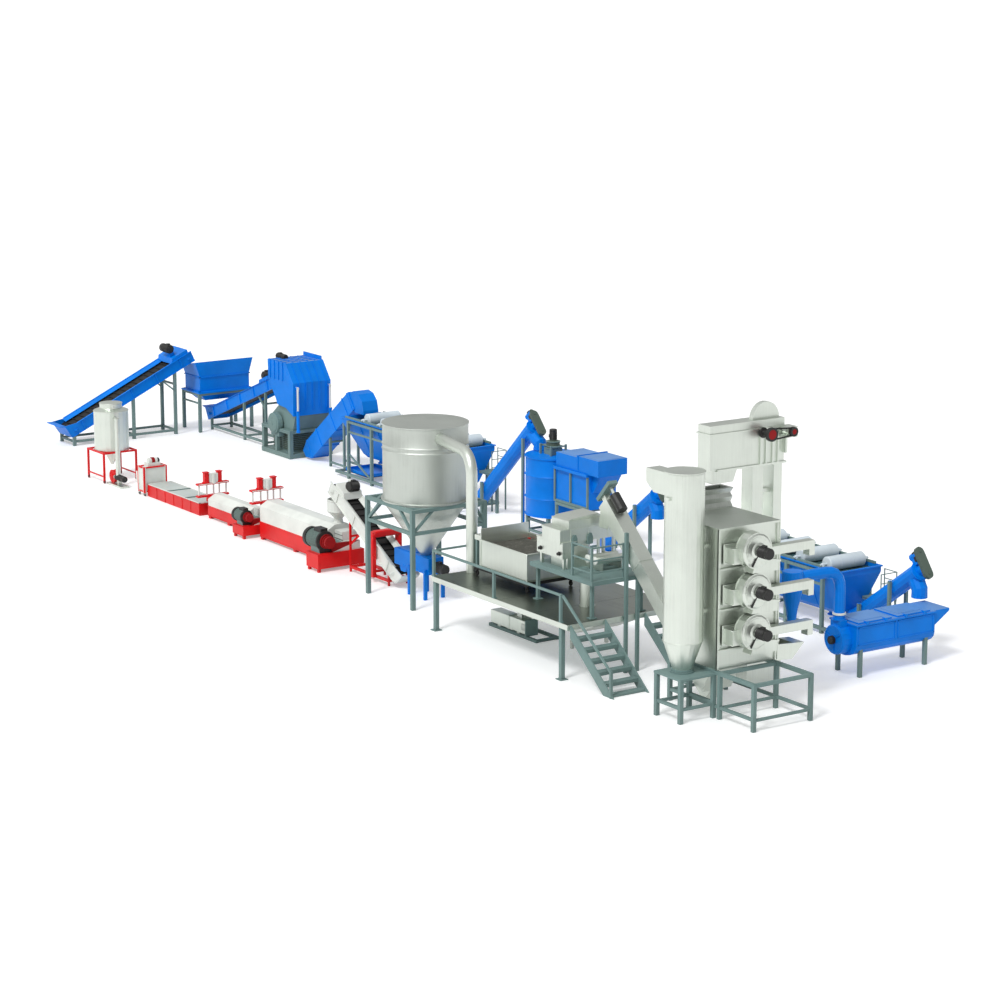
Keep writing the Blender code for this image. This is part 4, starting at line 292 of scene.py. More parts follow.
class Part:
    """Mesh piece of several solids, in metres of the real line about a machine's station."""

    def __init__(self, name, material, at=(0.0, 0.0), turn=0.0):
        self.name = name
        self.material = material
        self.at = Vector((at[0], at[1], 0))
        self.turn = Matrix.Rotation(radians(turn), 3, "Z")
        self.points = []
        self.faces = []

    def loft(self, rings, closed=False):
        first = len(self.points)
        count = len(rings[0])
        for ring in rings:
            for point in ring:
                self.points.append(place(*(self.at + self.turn @ Vector(point))))
        pairs = len(rings) if closed else len(rings) - 1
        for low in range(pairs):
            high = (low + 1) % len(rings)
            for i in range(count):
                j = (i + 1) % count
                corners = (low * count + i, low * count + j, high * count + j, high * count + i)
                self.faces.append([first + corner for corner in corners])
        if not closed:
            last = first + (len(rings) - 1) * count
            self.faces.append([first + i for i in range(count)][::-1])
            self.faces.append([last + i for i in range(count)])
        return self

    def box(self, x, y, z):
        return self.loft([[(x[0], y[0], h), (x[1], y[0], h), (x[1], y[1], h), (x[0], y[1], h)] for h in z])

    def prism(self, outline, axis, span):
        order = {"x": lambda a, b, c: (c, a, b), "y": lambda a, b, c: (a, c, b)}
        return self.loft([[order[axis](a, b, c) for a, b in outline] for c in span])

    def bar(self, start, end, width, depth=None):
        depth = depth or width
        start, end = Vector(start), Vector(end)
        along = (end - start).normalized()
        side = along.cross(Vector((0, 0, 1)))
        side = side.normalized() if side.length > 1e-6 else Vector((0, 1, 0))
        up = side.cross(along)
        square = ((-1, -1), (1, -1), (1, 1), (-1, 1))
        corners = [side * a * width / 2 + up * b * depth / 2 for a, b in square]
        return self.loft([[centre + corner for corner in corners] for centre in (start, end)])

    def spin(self, start, way, profile, sides=16, closed=False):
        """Turned solid about the line from start along way; profile is (radius, distance)."""
        start, way = Vector(start), Vector(way).normalized()
        side = way.cross(Vector((0.3, 0.5, 1.0))).normalized()
        up = way.cross(side)
        rings = []
        for radius, far in profile:
            centre = start + way * far
            turns = [2 * pi * i / sides for i in range(sides)]
            rings.append([centre + side * radius * cos(t) + up * radius * sin(t) for t in turns])
        return self.loft(rings, closed)

    def collar(self, start, way, inner, outer, far, thick, sides=24):
        """Ring round a pipe or drum."""
        end = far + thick
        return self.spin(start, way, [(inner, far), (outer, far), (outer, end), (inner, end)], sides, True)

    def wheel(self, x, y, z, hub, radius, wide):
        """Caster wheel with its middle at (x, y, z), its axle across the line."""
        profile = [(hub, 0), (radius, 0.01), (radius, wide - 0.01), (hub, wide)]
        return self.spin((x, y - wide / 2, z), Y_WAY, profile, 18)

    def bolts(self, start, way, ring, count, size=0.022, tall=0.025):
        """Hexagon bolt heads on a circle about the line from start along way."""
        start, way = Vector(start), Vector(way).normalized()
        side = way.cross(Vector((0.3, 0.5, 1.0))).normalized()
        up = way.cross(side)
        for i in range(count):
            turn = 2 * pi * (i + 0.5) / count
            foot = start + side * ring * cos(turn) + up * ring * sin(turn)
            self.spin(foot, way, [(size, 0), (size, tall * 0.8), (size * 0.8, tall)], 6)
        return self

    def row(self, start, end, way, count, size=0.02, tall=0.02):
        """Row of hexagon bolt heads from start to end, each standing along way."""
        start, end = Vector(start), Vector(end)
        for i in range(count):
            foot = start.lerp(end, (i + 0.5) / count)
            self.spin(foot, way, [(size, 0), (size, tall * 0.8), (size * 0.8, tall)], 6)
        return self

    def tube(self, path, radius, sides=14):
        path = [Vector(point) for point in path]
        rings = []
        side = None
        for i, centre in enumerate(path):
            along = (path[min(i + 1, len(path) - 1)] - path[max(i - 1, 0)]).normalized()
            if side is None:
                side = along.cross(Vector((0.3, 0.5, 1.0)))
            side = (side - along * side.dot(along)).normalized()
            up = along.cross(side)
            turns = [2 * pi * k / sides for k in range(sides)]
            rings.append([centre + side * radius * cos(t) + up * radius * sin(t) for t in turns])
        return self.loft(rings)

    def motor(self, start, way, radius, long, fins=9):
        """Finned motor body with a fan cowl at its far end."""
        profile = [(radius * 0.72, 0), (radius * 0.72, 0.04), (radius, 0.05)]
        step = long * 0.66 / fins
        for k in range(fins):
            near = 0.05 + k * step
            for size, share in ((1, 0), (1.09, 0.2), (1.09, 0.5), (1, 0.7)):
                profile.append((radius * size, near + step * share))
        end = 0.05 + fins * step
        cowl = radius * 1.04
        profile += [(radius, end), (cowl, end + 0.01), (cowl, long - 0.03), (radius * 0.86, long)]
        return self.spin(start, way, profile, 20)

    def done(self, bevel=0.003):
        mesh = bpy.data.meshes.new(self.name)
        mesh.from_pydata(self.points, [], self.faces)
        work = bmesh.new()
        work.from_mesh(mesh)
        bmesh.ops.recalc_face_normals(work, faces=work.faces)
        work.to_mesh(mesh)
        work.free()
        mesh.materials.append(self.material)
        mesh.shade_smooth()
        mesh.set_sharp_from_angle(angle=radians(38))
        made = put(self.name, mesh)
        if bevel:
            edge = made.modifiers.new("edge", "BEVEL")
            edge.width = bevel
            edge.segments = 1
            edge.limit_method = "ANGLE"
            edge.angle_limit = radians(40)
        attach(made, "root")
        return made


# Places of the machines, in metres of the real line
WASH_Y = 4.75
PELLET_Y = -5.85
BELT_SIDE = 0.56
DRYER_Y = -6.93
DRUM_X = 1.99
SHREDDER_X = -20.8
DEWATERING_AT = (26.7, 0.35)
CYCLONE_AT = (27.585, -7.71)
ELEVATOR_AT = (25.66, -3.2)
SILO_AT = (8.25, -5.9)
CUTTER_X = -15.85
PELLET_SILO_AT = (-20.1, -6.0)
SORTING_FOOT = (26.55, 0.45)
SORTING_SLOPE = radians(42.5)
PELLET_FEED_X = 6.45
PELLET_FEED_SLOPE = 28.5
DECK_TOP = 2.15
ROUND = 96    # sides of the large round shells
# number, low end, rim height, first drum from the low end
TANKS = ((1, -14.4, 2.95, 2.0), (2, 12.4, 2.55, 1.3))
# number, foot, run, rise, foot height, shift of the guard's hubs, legs from the foot along the screw
SCREWS = ((2, -3.60, 4.13, 3.87, 0.80, -0.2, (0.7, 5.15)),
          (3, 6.3, 3.4, 2.6, 0.55, 0.0, (1.1, 2.9)),
          (4, 22.6, 3.3, 2.4, 0.75, 0.0, (0.5, 2.6)))
# number, low end, base height, cover height, middle of the drive, half width, size of the drive
EXTRUDERS = ((1, -4.55, 0.82, 1.72, 1.93, 0.62, 1.0), (2, -9.62, 0.6, 1.12, -5.35, 0.5, 0.72))
X_WAY, Y_WAY, Z_WAY = (1, 0, 0), (0, 1, 0), (0, 0, 1)


# Finishes by place on one CAD node

def sorting_along(p):
    """Distance up the sorting screw from its foot."""
    x, z = SORTING_FOOT
    return (x - p.x) * cos(SORTING_SLOPE) + (p.z - z) * sin(SORTING_SLOPE)


def sorting_up(p):
    """Height over the sorting screw's middle line, square to it."""
    x, z = SORTING_FOOT
    return (p.z - z) * cos(SORTING_SLOPE) - (x - p.x) * sin(SORTING_SLOPE)


def colour_by_place():
    """Finishes of single faces: tops, guards, frames, legs and drives that belong to a larger node; upward
    faces of the blue machines get a lighter blue as painted sheen, and the drying tower's top a darker,
    duller steel as painted shade.
    """
    edge = 0.03
    recolour("platform_deck", STEEL_ALONG, lambda p, n: 1.94 < p.z < 2.14 and abs(n.z) < 0.5 and (
        p.x < 12.95 + edge or p.x > 22.0 - edge or p.y < -8.62 + edge or p.y > -3.43 - edge))
    recolour("platform_deck", GREY, lambda p, n: p.z > 2.16 or p.z < 1.955)
    recolour("shredder_hood", WHITE, lambda p, n: p.x > -18.99 and p.z > 2.49)
    # Upward faces high on the hood, the box washer and the dewatering machine take the lighter blue: painted
    # sheen on the tops.
    recolour("shredder_hood", BLUE_SHEEN_TOP, lambda p, n: n.z > 0.9 and p.z > 4.8)
    recolour("box_washer", GREY, lambda p, n: p.y < WASH_Y - 0.745 and p.z < 3.30)
    recolour("box_washer", BLUE_SHEEN_TOP, lambda p, n: n.z > 0.9 and p.z > 4.05)
    recolour("dewatering_machine", BLUE_SHEEN_TOP, lambda p, n: n.z > 0.9 and p.z > 1.98)
    recolour("wash_drum_roof", GREY, lambda p, n: p.z > 3.70)
    recolour("wash_drum_roof", DARK_GREY, lambda p, n: p.z > 3.93
             and hypot(p.x - DRUM_X, p.y - WASH_Y) < 0.32)
    recolour("dewatering_machine", GREY, lambda p, n: p.z < 0.9 and abs(n.z) < 0.3
             and 0.52 < abs(p.x - DEWATERING_AT[0]) < 0.78)
    recolour("pellet_blower", RED, lambda p, n: hypot(p.x + 18.80, p.z - 0.42) < 0.33
             and abs(p.y + 6.55) < 0.12 and p.z > 0.11)
    recolour("elevator", BLACK, lambda p, n: p.x > 26.45)
    recolour("elevator", DARK_RED, lambda p, n: p.x > 26.41 and (
        hypot(p.y + 3.03, p.z - 9.25) < 0.25 or hypot(p.y + 2.03, p.z - 9.25) < 0.17))
    recolour("dryer_tower", STEEL, lambda p, n: n.x > 0.8 or p.y > -4.22)
    # The tower's top and upward faces take the darker, duller steel: painted shade on the top.
    recolour("dryer_tower", SILO_STEEL, lambda p, n: n.z > 0.9 and p.z > 6.6 or p.z > 6.72)
    recolour("sorting_screw", IRON, lambda p, n: sorting_up(p) > 0.325 and sorting_along(p) < 8.29)
    recolour("sorting_screw", GREY, lambda p, n: sorting_along(p) > 8.575)
    recolour("vat", GREY, lambda p, n: p.x < 13.80 and p.z > 2.6)
    recolour("vat", IRON, lambda p, n: p.z < 2.56)
    recolour("process_tank", GREY, lambda p, n: p.z < 0.135 or (p.x > 16.19 and p.y < -5.95))
    recolour("cooling_bath", GREY, lambda p, n: p.z > 0.585)
    for number, _, rim, _ in TANKS:
        recolour("float_drums_%d" % number, GREY, lambda p, n: abs(p.y - WASH_Y) > 1.02 and p.z < rim + 0.11)
    for number, x0, _, cover_z, drive_x, half, size in EXTRUDERS:
        low = drive_x - 0.9 * size
        node = "extruder_%d_drive" % number
        recolour(node, IRON, lambda p, n: p.x < low + 0.22 * size
                 or low + 1.09 * size < p.x < low + 1.26 * size)
        recolour(node, DARK_RED, lambda p, n: p.x > low + 1.27 * size)
        recolour(node, WHITE, lambda p, n: p.y > PELLET_Y - half + 0.15)
        shelf = cover_z - 0.18
        recolour("extruder_%d_base" % number, WHITE, lambda p, n: p.x < x0 - 0.2 and (
            shelf + 0.045 < p.z < shelf + 0.515
            or (p.z > shelf + 0.62 and abs(p.y - PELLET_Y - 0.02) < 0.17)))
    for number, foot_x, run, rise, low_z, _, legs in SCREWS:
        slope = atan2(rise, run)
        length = hypot(run, rise)
        feet = [foot_x + along * cos(slope) for along in legs]
        name = "screw_conveyor_%d" % number

        def guard(p, n):
            return (p.x - foot_x) * cos(slope) + (p.z - low_z) * sin(slope) > length + 0.255

        def leg(p, n):
            near = min(abs(p.x - foot) for foot in feet) < 0.065
            return near and (p.z < 0.4 or (abs(p.y - WASH_Y) > 0.345 and abs(n.z) < 0.9))

        recolour(name, DARK_GREY, guard)
        recolour(name, GREY, leg)


colour_by_place()


# Fittings

def bands(name, material, at, sides, *rings):
    """Level rings round an upright shell, each given by its height, inner and outer radius and thickness."""
    piece = Part(name, material, at)
    for height, inner, outer, thick in rings:
        piece.collar((0, 0, height), Z_WAY, inner, outer, 0, thick, sides)
    piece.done()


def conveyor(prefix, at, turn, run, slope_degrees, tail_z, width, drive_at, motor_up, finish):
    """Cleats, inner skirts, bearings, side lips and the finned drive motor of a belt conveyor."""
    slope = radians(slope_degrees)
    on = slope_map((0, tail_z), slope)
    length = run / cos(slope)
    half = width / 2
    top = BELT_SIDE * 0.33 + 0.16 + 0.032
    cleats = Part(prefix + "_cleats", BLACK, at, turn)
    cleat = ((-0.025, -0.01), (0.025, -0.01), (0.012, 0.06), (-0.012, 0.06))
    count = int((length - 0.8) / 0.38)
    for k in range(count):
        a = 0.45 + k * 0.38
        cleats.prism([on(a + far, top + up) for far, up in cleat], "y", (-half + 0.12, half - 0.12))
    cleats.done(0.002)
    lips = Part(prefix + "_side_lips", finish, at, turn)
    skirt = half - 0.19 * width
    skirt_edge = ((half - 0.03, BELT_SIDE - 0.02), (skirt, top + 0.07),
                  (skirt - 0.015, top + 0.085), (half - 0.03, BELT_SIDE))
    edges = ((0.5, BELT_SIDE + 0.01, 0.02, 0, 0.09, 0.03), (0.05, 0.0, 0.01, 0.02, 0.06, 0.04))
    for side in (-1, 1):
        for first, up, out, lift, wide, deep in edges:
            start, end = on(first, up), on(length, up)
            y = side * (half + out)
            lips.bar((start[0], y, start[1] + lift), (end[0], y, end[1] + lift), wide, deep)
        rings = []
        for a in (0.42, drive_at * length):
            ring = []
            for y, up in skirt_edge:
                x, z = on(a, up)
                ring.append((x, side * y, z))
            rings.append(ring)
        lips.loft(rings)
    for a in (0.30, length - 0.30):
        x, z = on(a, BELT_SIDE * 0.33 + 0.08)
        for side in (-1, 1):
            lips.box(about(x, 0.11), flank(side, half, half + 0.04), about(z, 0.07))
            bearing = [(0.065, 0.03), (0.065, 0.07), (0.035, 0.075), (0.035, 0.11)]
            lips.spin((x, side * half, z), (0, side, 0), bearing, 14)
    lips.done()
    motor = Part(prefix + "_motor", IRON, at, turn)
    x, z = on(drive_at * length + 0.35, BELT_SIDE + motor_up)
    motor.motor((x, -half * 0.75 - 0.01, z), Y_WAY, 0.213, width * 0.55 + 0.03)
    motor.box(about(x, 0.08), (-half * 0.75 + 0.15, -half * 0.75 + 0.33), (z + 0.19, z + 0.28))
    motor.done()


def boxes(name, material, at, *spans):
    """Piece made of boxes, each given by its spans in x, y and z."""
    piece = Part(name, material, at)
    for span in spans:
        piece.box(*span)
    piece.done()


def drive(name, at, start, way, radius, long, box=(), fins=9):
    """Motor from start along way, with its terminal box if one is given."""
    piece = Part(name, IRON, at)
    piece.motor(start, way, radius, long, fins)
    if box:
        piece.box(*box)
    piece.done()


def bunker_and_shredder():
    """Flanges of the bunker; covers, ribs, grilles, collars and motor of the shredder."""
    rim = Part("bunker_flanges", BLUE, (-29.3, 4.77))
    for height in (2.90, 2.12):
        deep = 0.045 if height > 2.5 else 0.08
        for side in (-1, 1):
            rim.box(flank(side, 0.80, 0.825 + deep), (-1.475 - deep, 1.475 + deep), (height, height + 0.05))
            rim.box((-0.825 - deep, 0.825 + deep), flank(side, 1.45, 1.475 + deep), (height, height + 0.05))
    rim.done()
    x, y = SHREDDER_X, WASH_Y
    discs = Part("shredder_wheel_covers", GREY, (x, y))
    ribs = Part("shredder_front_ribs", GREY, (x, y))
    grille = Part("shredder_grilles", DARK_GREY, (x, y))
    for side in (-1, 1):
        way = (0, side, 0)
        cover = [(0.46, 0), (0.46, 0.02), (0.43, 0.035), (0.1, 0.035), (0.08, 0.06)]
        discs.spin((-0.05, side * 1.378, 1.66), way, cover, 36)
        for k in range(9):
            height = 0.34 + k * 0.095
            for span in ((-0.88, -0.12), (0.12, 0.88)):
                grille.box(span, flank(side, 0.83, 0.875), (height, height + 0.05))
        ribs.row((-1.38, side * 1.25, 1.36), (1.38, side * 1.25, 1.36), way, 14)
    for k in range(9):
        height = 0.34 + k * 0.095
        grille.box((0.90, 0.935), (-0.8, 0.8), (height, height + 0.05))
    for k in range(9):
        b = -0.85 + k * 0.21
        ribs.box((1.32, 1.375), (b, b + 0.05), (1.50, 2.14))
    discs.done()
    ribs.done()
    grille.done()
    collars = Part("hood_cylinder_collars", BLUE, (x, y))
    for b in (-0.98, 0.9):
        for height in (2.44, 1.42):
            collars.spin((1.87, b, height), Z_WAY, [(0.10, 0), (0.10, 0.08)], 14)
    for k in range(6):
        b = -1.10 + k * 0.42
        collars.box((-0.85, 0.92), (b, b + 0.03), (4.825, 4.86))
    collars.done()
    drive("hood_drive_motor", (x, y), (-1.15, -0.4, 4.90), X_WAY, 0.15, 0.85,
          ((-0.95, -0.75), (-0.47, -0.33), (5.02, 5.09)))


def screw_washer():
    """Lids and end ribs of the first screw washer."""
    on = slope_map((-18.96, 0.38), radians(36.8))
    lids = Part("screw_washer_lids", BLUE, (0, WASH_Y))
    for start, end in ((0.45, 1.42), (1.65, 3.12), (3.35, 4.62)):
        lids.prism(slab(on, (start, end), (0.47, 0.50)), "y", (-0.42, 0.42))
    for a in (0.3, 5.28):
        lids.prism(slab(on, (a, a + 0.05), (-0.505, 0.505)), "y", (-0.505, 0.505))
    lids.done()


def float_tank(number, x, rim, first):
    """Water, smooth drum skins, rim lip, ribs, end walkway and drains of a float tank."""
    centre = (x, WASH_Y)
    long = 10.1
    surface = Part("float_water_%d" % number, WATER, centre)
    level = rim - 0.17
    columns, rows = 72, 16
    grid = []
    for i in range(columns + 1):
        a = 0.034 + i * (long - 0.068) / columns
        ring = []
        for j in range(rows + 1):
            b = -1.066 + j * 2.132 / rows
            ring.append((a, b, level + 0.006 * sin(a * 5.1 + b * 3.0) + 0.004 * sin(a * 11.0 - b * 7.3)))
        ring += [(a, 1.066, level - 0.03), (a, -1.066, level - 0.03)]
        grid.append(ring)
    surface.loft(grid)
    surface.done(0)
    skins = Part("drum_skins_%d" % number, PALE, centre)
    pitch = (long - 0.9 - first) / 5
    axis = rim + 0.1212
    for k in range(6):
        a = first + k * pitch
        skin = [(0.06, 0), (0.26, 0.0), (0.285, 0.03), (0.285, 1.75), (0.26, 1.78), (0.06, 1.78)]
        skins.spin((a, -0.89, axis), Y_WAY, skin, 40)
        for b in (-0.30, 0.28):
            skins.collar((a, b, axis), Y_WAY, 0.27, 0.291, 0, 0.02, 40)
        for side in (-1, 1):
            skins.box(about(a, 0.09), flank(side, 1.05, 1.12), (rim + 0.05, rim + 0.11))
            skins.spin((a, side * 1.04, axis), (0, side, 0), [(0.07, 0), (0.07, 0.09), (0.05, 0.11)], 14)
    skins.done()
    lip = Part("tank_rim_%d" % number, BLUE, centre)
    for side in (-1, 1):
        lip.box((0.0, long), flank(side, 1.095, 1.15), (rim - 0.05, rim - 0.002))
        first_bolt, last_bolt = ((a, side * 1.12, rim - 0.002) for a in (0.1, long - 0.1))
        lip.row(first_bolt, last_bolt, Z_WAY, 34, 0.014, 0.012)
    for a in (-0.05, long):
        lip.box((a, a + 0.05), (-1.15, 1.15), (rim - 0.05, rim - 0.002))
    rib = ((1.10, 0.28), (1.13, 0.28), (0.53, 1.72), (0.50, 1.72))
    for k in range(5):
        a = 1.7 + k * 1.65
        for side in (-1, 1):
            lip.prism([(side * b, rim - down) for b, down in rib], "x", about(a, 0.03))
    low = rim - 1.9
    for a in (1.9, 8.6):
        lip.spin((a, 0, low + 0.03), (0, 0, -1), [(0.14, 0), (0.14, 0.22), (0.2, 0.22), (0.2, 0.26)], 18)
    lip.done()
    if number == 1:
        boxes("tank_drip_tray", BLUE, centre, ((0.1, 2.3), (-1.0, 0.7), (0.26, 0.30)),
              *(((0.1, 2.3), (b, b + 0.03), (0.26, 0.44)) for b in (-1.0, 0.67)),
              *(((a, a + 0.03), (-1.0, 0.7), (0.26, 0.44)) for a in (0.1, 2.27)))
    walk = Part("tank_walkway_%d" % number, GREY, centre)
    floor = rim - 1.22
    x0, x1 = long - 0.28, long + 0.80
    y0, y1 = 0.40, 1.25
    walk.box((x0, x1), (y0, y1), (floor, floor + 0.04))
    sides = (y0 + 0.05, y1 - 0.05)
    for b in sides:
        walk.bar((x0, b, floor - 0.04), (x1, b, floor - 0.04), 0.06, 0.08)
    for b in sides:
        walk.bar((x1 - 0.05, b, floor), (x1 - 0.05, b, 0.0), 0.06)
    top = rim - 0.13
    for a, b in ((x1 - 0.03, y0 + 0.03), (x1 - 0.03, y1 - 0.03), (long + 0.08, y1 - 0.03)):
        walk.bar((a, b, floor), (a, b, top), 0.035)
    for height in (top - 0.015, top - 0.38, top - 0.75):
        walk.bar((long + 0.08, y1 - 0.03, height), (x1 - 0.03, y1 - 0.03, height), 0.03)
        walk.bar((x1 - 0.03, y0 + 0.03, height), (x1 - 0.03, y1 - 0.03, height), 0.03)
    walk.done(0.001)


def screw(number, foot_x, run, rise, low_z, shift):
    """End flanges, drive coupling and guard hubs of an inclined screw."""
    slope = atan2(rise, run)
    length = hypot(run, rise)
    on = slope_map((foot_x, low_z), slope)
    way = (cos(slope), 0, sin(slope))
    x, z = on(0, 0)
    rings = Part("screw_flanges_%d" % number, BLUE, (0, WASH_Y))
    for a in (-0.3, length - 0.06):
        rings.collar((x, 0, z), way, 0.32, 0.375, a, 0.03, 28)
    rings.done()
    dark = Part("screw_coupling_%d" % number, IRON, (0, WASH_Y))
    dark.prism(slab(on, (length + 0.06, length + 0.25), (0.34, 0.72)), "y", (-0.13, 0.13))
    gx, gz = on(length + 0.21, 0)
    dark.spin((gx, 0, gz), way, [(0.12, 0), (0.12, 0.04)], 16)
    dark.done()
    guard = Part("screw_guard_hubs_%d" % number, DARK_GREY, (0, WASH_Y))
    for middle in (0.62, -0.28):
        bx, bz = on(length + 0.40, middle + shift)
        guard.spin((bx, 0, bz), way, [(0.05, 0), (0.05, 0.02), (0.03, 0.03)], 14)
    guard.done()


def drum_and_box():
    """Shell, motor and flange of the wash drum, lid panels and gutter of the box washer."""
    centre = (DRUM_X, WASH_Y)
    shell = Part("drum_shell", BLUE, centre)
    profile = [(1.22, 1.0)]
    for low in (1.75, 2.75):
        profile += [(1.22, low), (1.26, low + 0.06), (1.22, low + 0.12)]
    shell.spin((0, 0, 0), Z_WAY, profile + [(1.22, 3.62)], ROUND)
    made = shell.done()
    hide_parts("wash_drum")
    bands("drum_edges", BLUE, centre, 64, (3.60, 1.19, 1.268, 0.05), (1.0, 1.19, 1.26, 0.05))
    drive("drum_motor", centre, (0, 0, 4.29), Z_WAY, 0.165, 0.50,
          ((-0.26, -0.14), (-0.07, 0.07), (4.38, 4.52)))
    ring = Part("drum_gear_flange", GREY, centre)
    ring.collar((0, 0, 3.93), Z_WAY, 0.2, 0.34, 0, 0.04)
    ring.bolts((0, 0, 3.97), Z_WAY, 0.32, 12)
    ring.collar((0, 0, 4.23), Z_WAY, 0.2, 0.33, 0, 0.03)
    ring.done()
    # The lid panels are the lighter blue: painted sheen on their tops.
    boxes("box_lid_panels", BLUE_SHEEN_TOP, (3.3, WASH_Y), ((0.1, 1.55), (-0.62, 0.6), (4.06, 4.085)),
          ((1.8, 3.08), (-0.66, 0.64), (4.14, 4.165)))
    washer = Part("box_washer_gutter", BLUE, (3.3, WASH_Y))
    washer.box((-0.08, 2.4), (-0.86, -0.83), (3.32, 3.46))
    washer.box((0.0, 2.42), (0.715, 0.76), (1.9, 1.98))
    for a in (0.6, 1.2, 1.8):
        washer.box(about(a, 0.03), (0.715, 0.76), (1.9, 3.4))
    washer.done()


def dewatering():
    """Panels, hatches, fan and duct clamp of the dewatering machine."""
    centre = DEWATERING_AT
    trim = Part("dewatering_panels", BLUE, centre)
    for side in (-1, 1):
        for start, end in ((0.08, 1.86), (1.98, 3.74)):
            for z0, z1 in ((1.24, 1.28), (1.88, 1.92)):
                trim.box(flank(side, 0.725, 0.75), (start, end), (z0, z1))
            for b in (start, end - 0.04):
                trim.box(flank(side, 0.725, 0.75), (b, b + 0.04), (1.24, 1.92))
    trim.box((-0.66, 0.64), (3.8, 3.84), (1.2, 1.4))
    for turn in (35, 155, 275):
        far = radians(turn)
        trim.bar((-0.05, -0.43, 1.38), (-0.05 + 0.44 * cos(far), -0.43, 1.38 + 0.44 * sin(far)), 0.05, 0.03)
    trim.collar((-0.05, -0.39, 1.38), (0, -1, 0), 0.44, 0.51, 0, 0.04, 36)
    trim.done()
    # The hatches are the lighter blue: painted sheen on their tops.
    boxes("dewatering_hatches", BLUE_SHEEN_TOP, centre,
          *(((-0.5, 0.45), (a, a + 1.1), (2.075, 2.095)) for a in (0.36, 2.2)))
    Part("dewatering_fan_motor", IRON, centre).motor((-0.05, -0.40, 1.38), (0, -1, 0), 0.145, 0.20, 4).done(0)
    Part("duct_clamp", WHITE, (26.65, 0.35)).collar((0, -0.18, 2.30), Z_WAY, 0.2, 0.25, 0, 0.08, 28).done()


def drying_tower():
    """Blower rings, motors and inlets, edge strips, cyclone rims and the elevator's drive."""
    centre = (25.7, DRYER_Y)
    depth, low, top = 2.8, 1.7, 6.7
    tier = (top - low - 0.7) / 3
    for k in range(3):
        axis = low + 0.7 + (k + 0.47) * tier
        face = depth
        fan = Part("blower_rings_%d" % (3 - k), STEEL, centre)
        for far in (0.295, 0.70):
            fan.collar((face, 1.13, axis), X_WAY, 0.58, 0.64, far, 0.025, 40)
        boss = [(0.50, 0), (0.50, 0.03), (0.30, 0.035), (0.26, 0.07), (0.18, 0.08)]
        fan.spin((face + 0.745, 1.13, axis), X_WAY, boss, 40)
        fan.bolts((face + 0.77, 1.13, axis), X_WAY, 0.45, 12, 0.014, 0.014)
        fan.done()
        engine = Part("blower_motor_%d" % (3 - k), IRON, centre)
        engine.motor((face + 0.83, 1.13, axis), X_WAY, 0.193, 0.58)
        engine.box((face + 1.0, face + 1.18), (1.07, 1.19), (axis + 0.18, axis + 0.26))
        engine.bar((face + 0.80, 1.10, axis - 0.1), (face + 0.80, 0.85, axis - 0.52), 0.05)
        engine.done()
        inlet = Part("blower_inlet_%d" % (3 - k), STEEL, centre)
        for level in (axis - 0.44, axis + 0.08):
            inlet.box((face, face + 0.5), (0.27, 0.93), (level, level + 0.03))
        inlet.box((face, face + 0.04), (0.2, 1.0), (axis - 0.52, axis + 0.2))
        inlet.done()
    edges = Part("tower_edge_strips", STEEL, centre)
    for b in (0.0, 2.66):
        edges.box((depth - 0.06, depth + 0.03), (b, b + 0.05), (low + 0.02, top - 0.02))
    edges.row((depth + 0.03, 0.025, low + 0.2), (depth + 0.03, 0.025, top - 0.2), X_WAY, 18, 0.012, 0.01)
    edges.done()
    foot = Part("cyclone_foot", GREY, CYCLONE_AT)
    foot.collar((0, 0, 1.605), Z_WAY, 0.30, 0.42, 0, 0.05, 32)
    foot.collar((0, 0, 1.66), Z_WAY, 0.30, 0.385, 0, 0.06, 32)
    foot.bolts((0, 0, 1.655), Z_WAY, 0.40, 12, 0.016, 0.016)
    foot.done()
    bands("cyclone_rim", STEEL, CYCLONE_AT, 56, (8.64, 0.66, 0.72, 0.045), (2.70, 0.68, 0.712, 0.03))
    boxes("elevator_doors", STEEL, ELEVATOR_AT, ((-0.2, 0.2), (-0.245, -0.225), (0.15, 0.75)),
          ((-0.22, 0.22), (-0.25, -0.225), (1.3, 1.9)), ((-0.355, 0.355), (-0.26, 0.28), (4.7, 4.74)),
          ((-0.345, 0.345), (0.72, 1.14), (4.7, 4.74)))
    Part("elevator_motor", STEEL_ALONG, ELEVATOR_AT).motor((0.30, 1.17, 9.25), X_WAY, 0.145, 0.36, 5).done()
    dark = Part("elevator_bearing", IRON, ELEVATOR_AT)
    dark.spin((0.36, 0.15, 9.25), X_WAY, [(0.19, 0), (0.19, 0.06), (0.10, 0.08), (0.08, 0.3)], 28)
    for y, radius in ((0.17, 0.245), (1.17, 0.165)):
        dark.collar((0.34, y, 9.25), X_WAY, radius - 0.07, radius + 0.008, 0.42, 0.13, 32)
    dark.done()


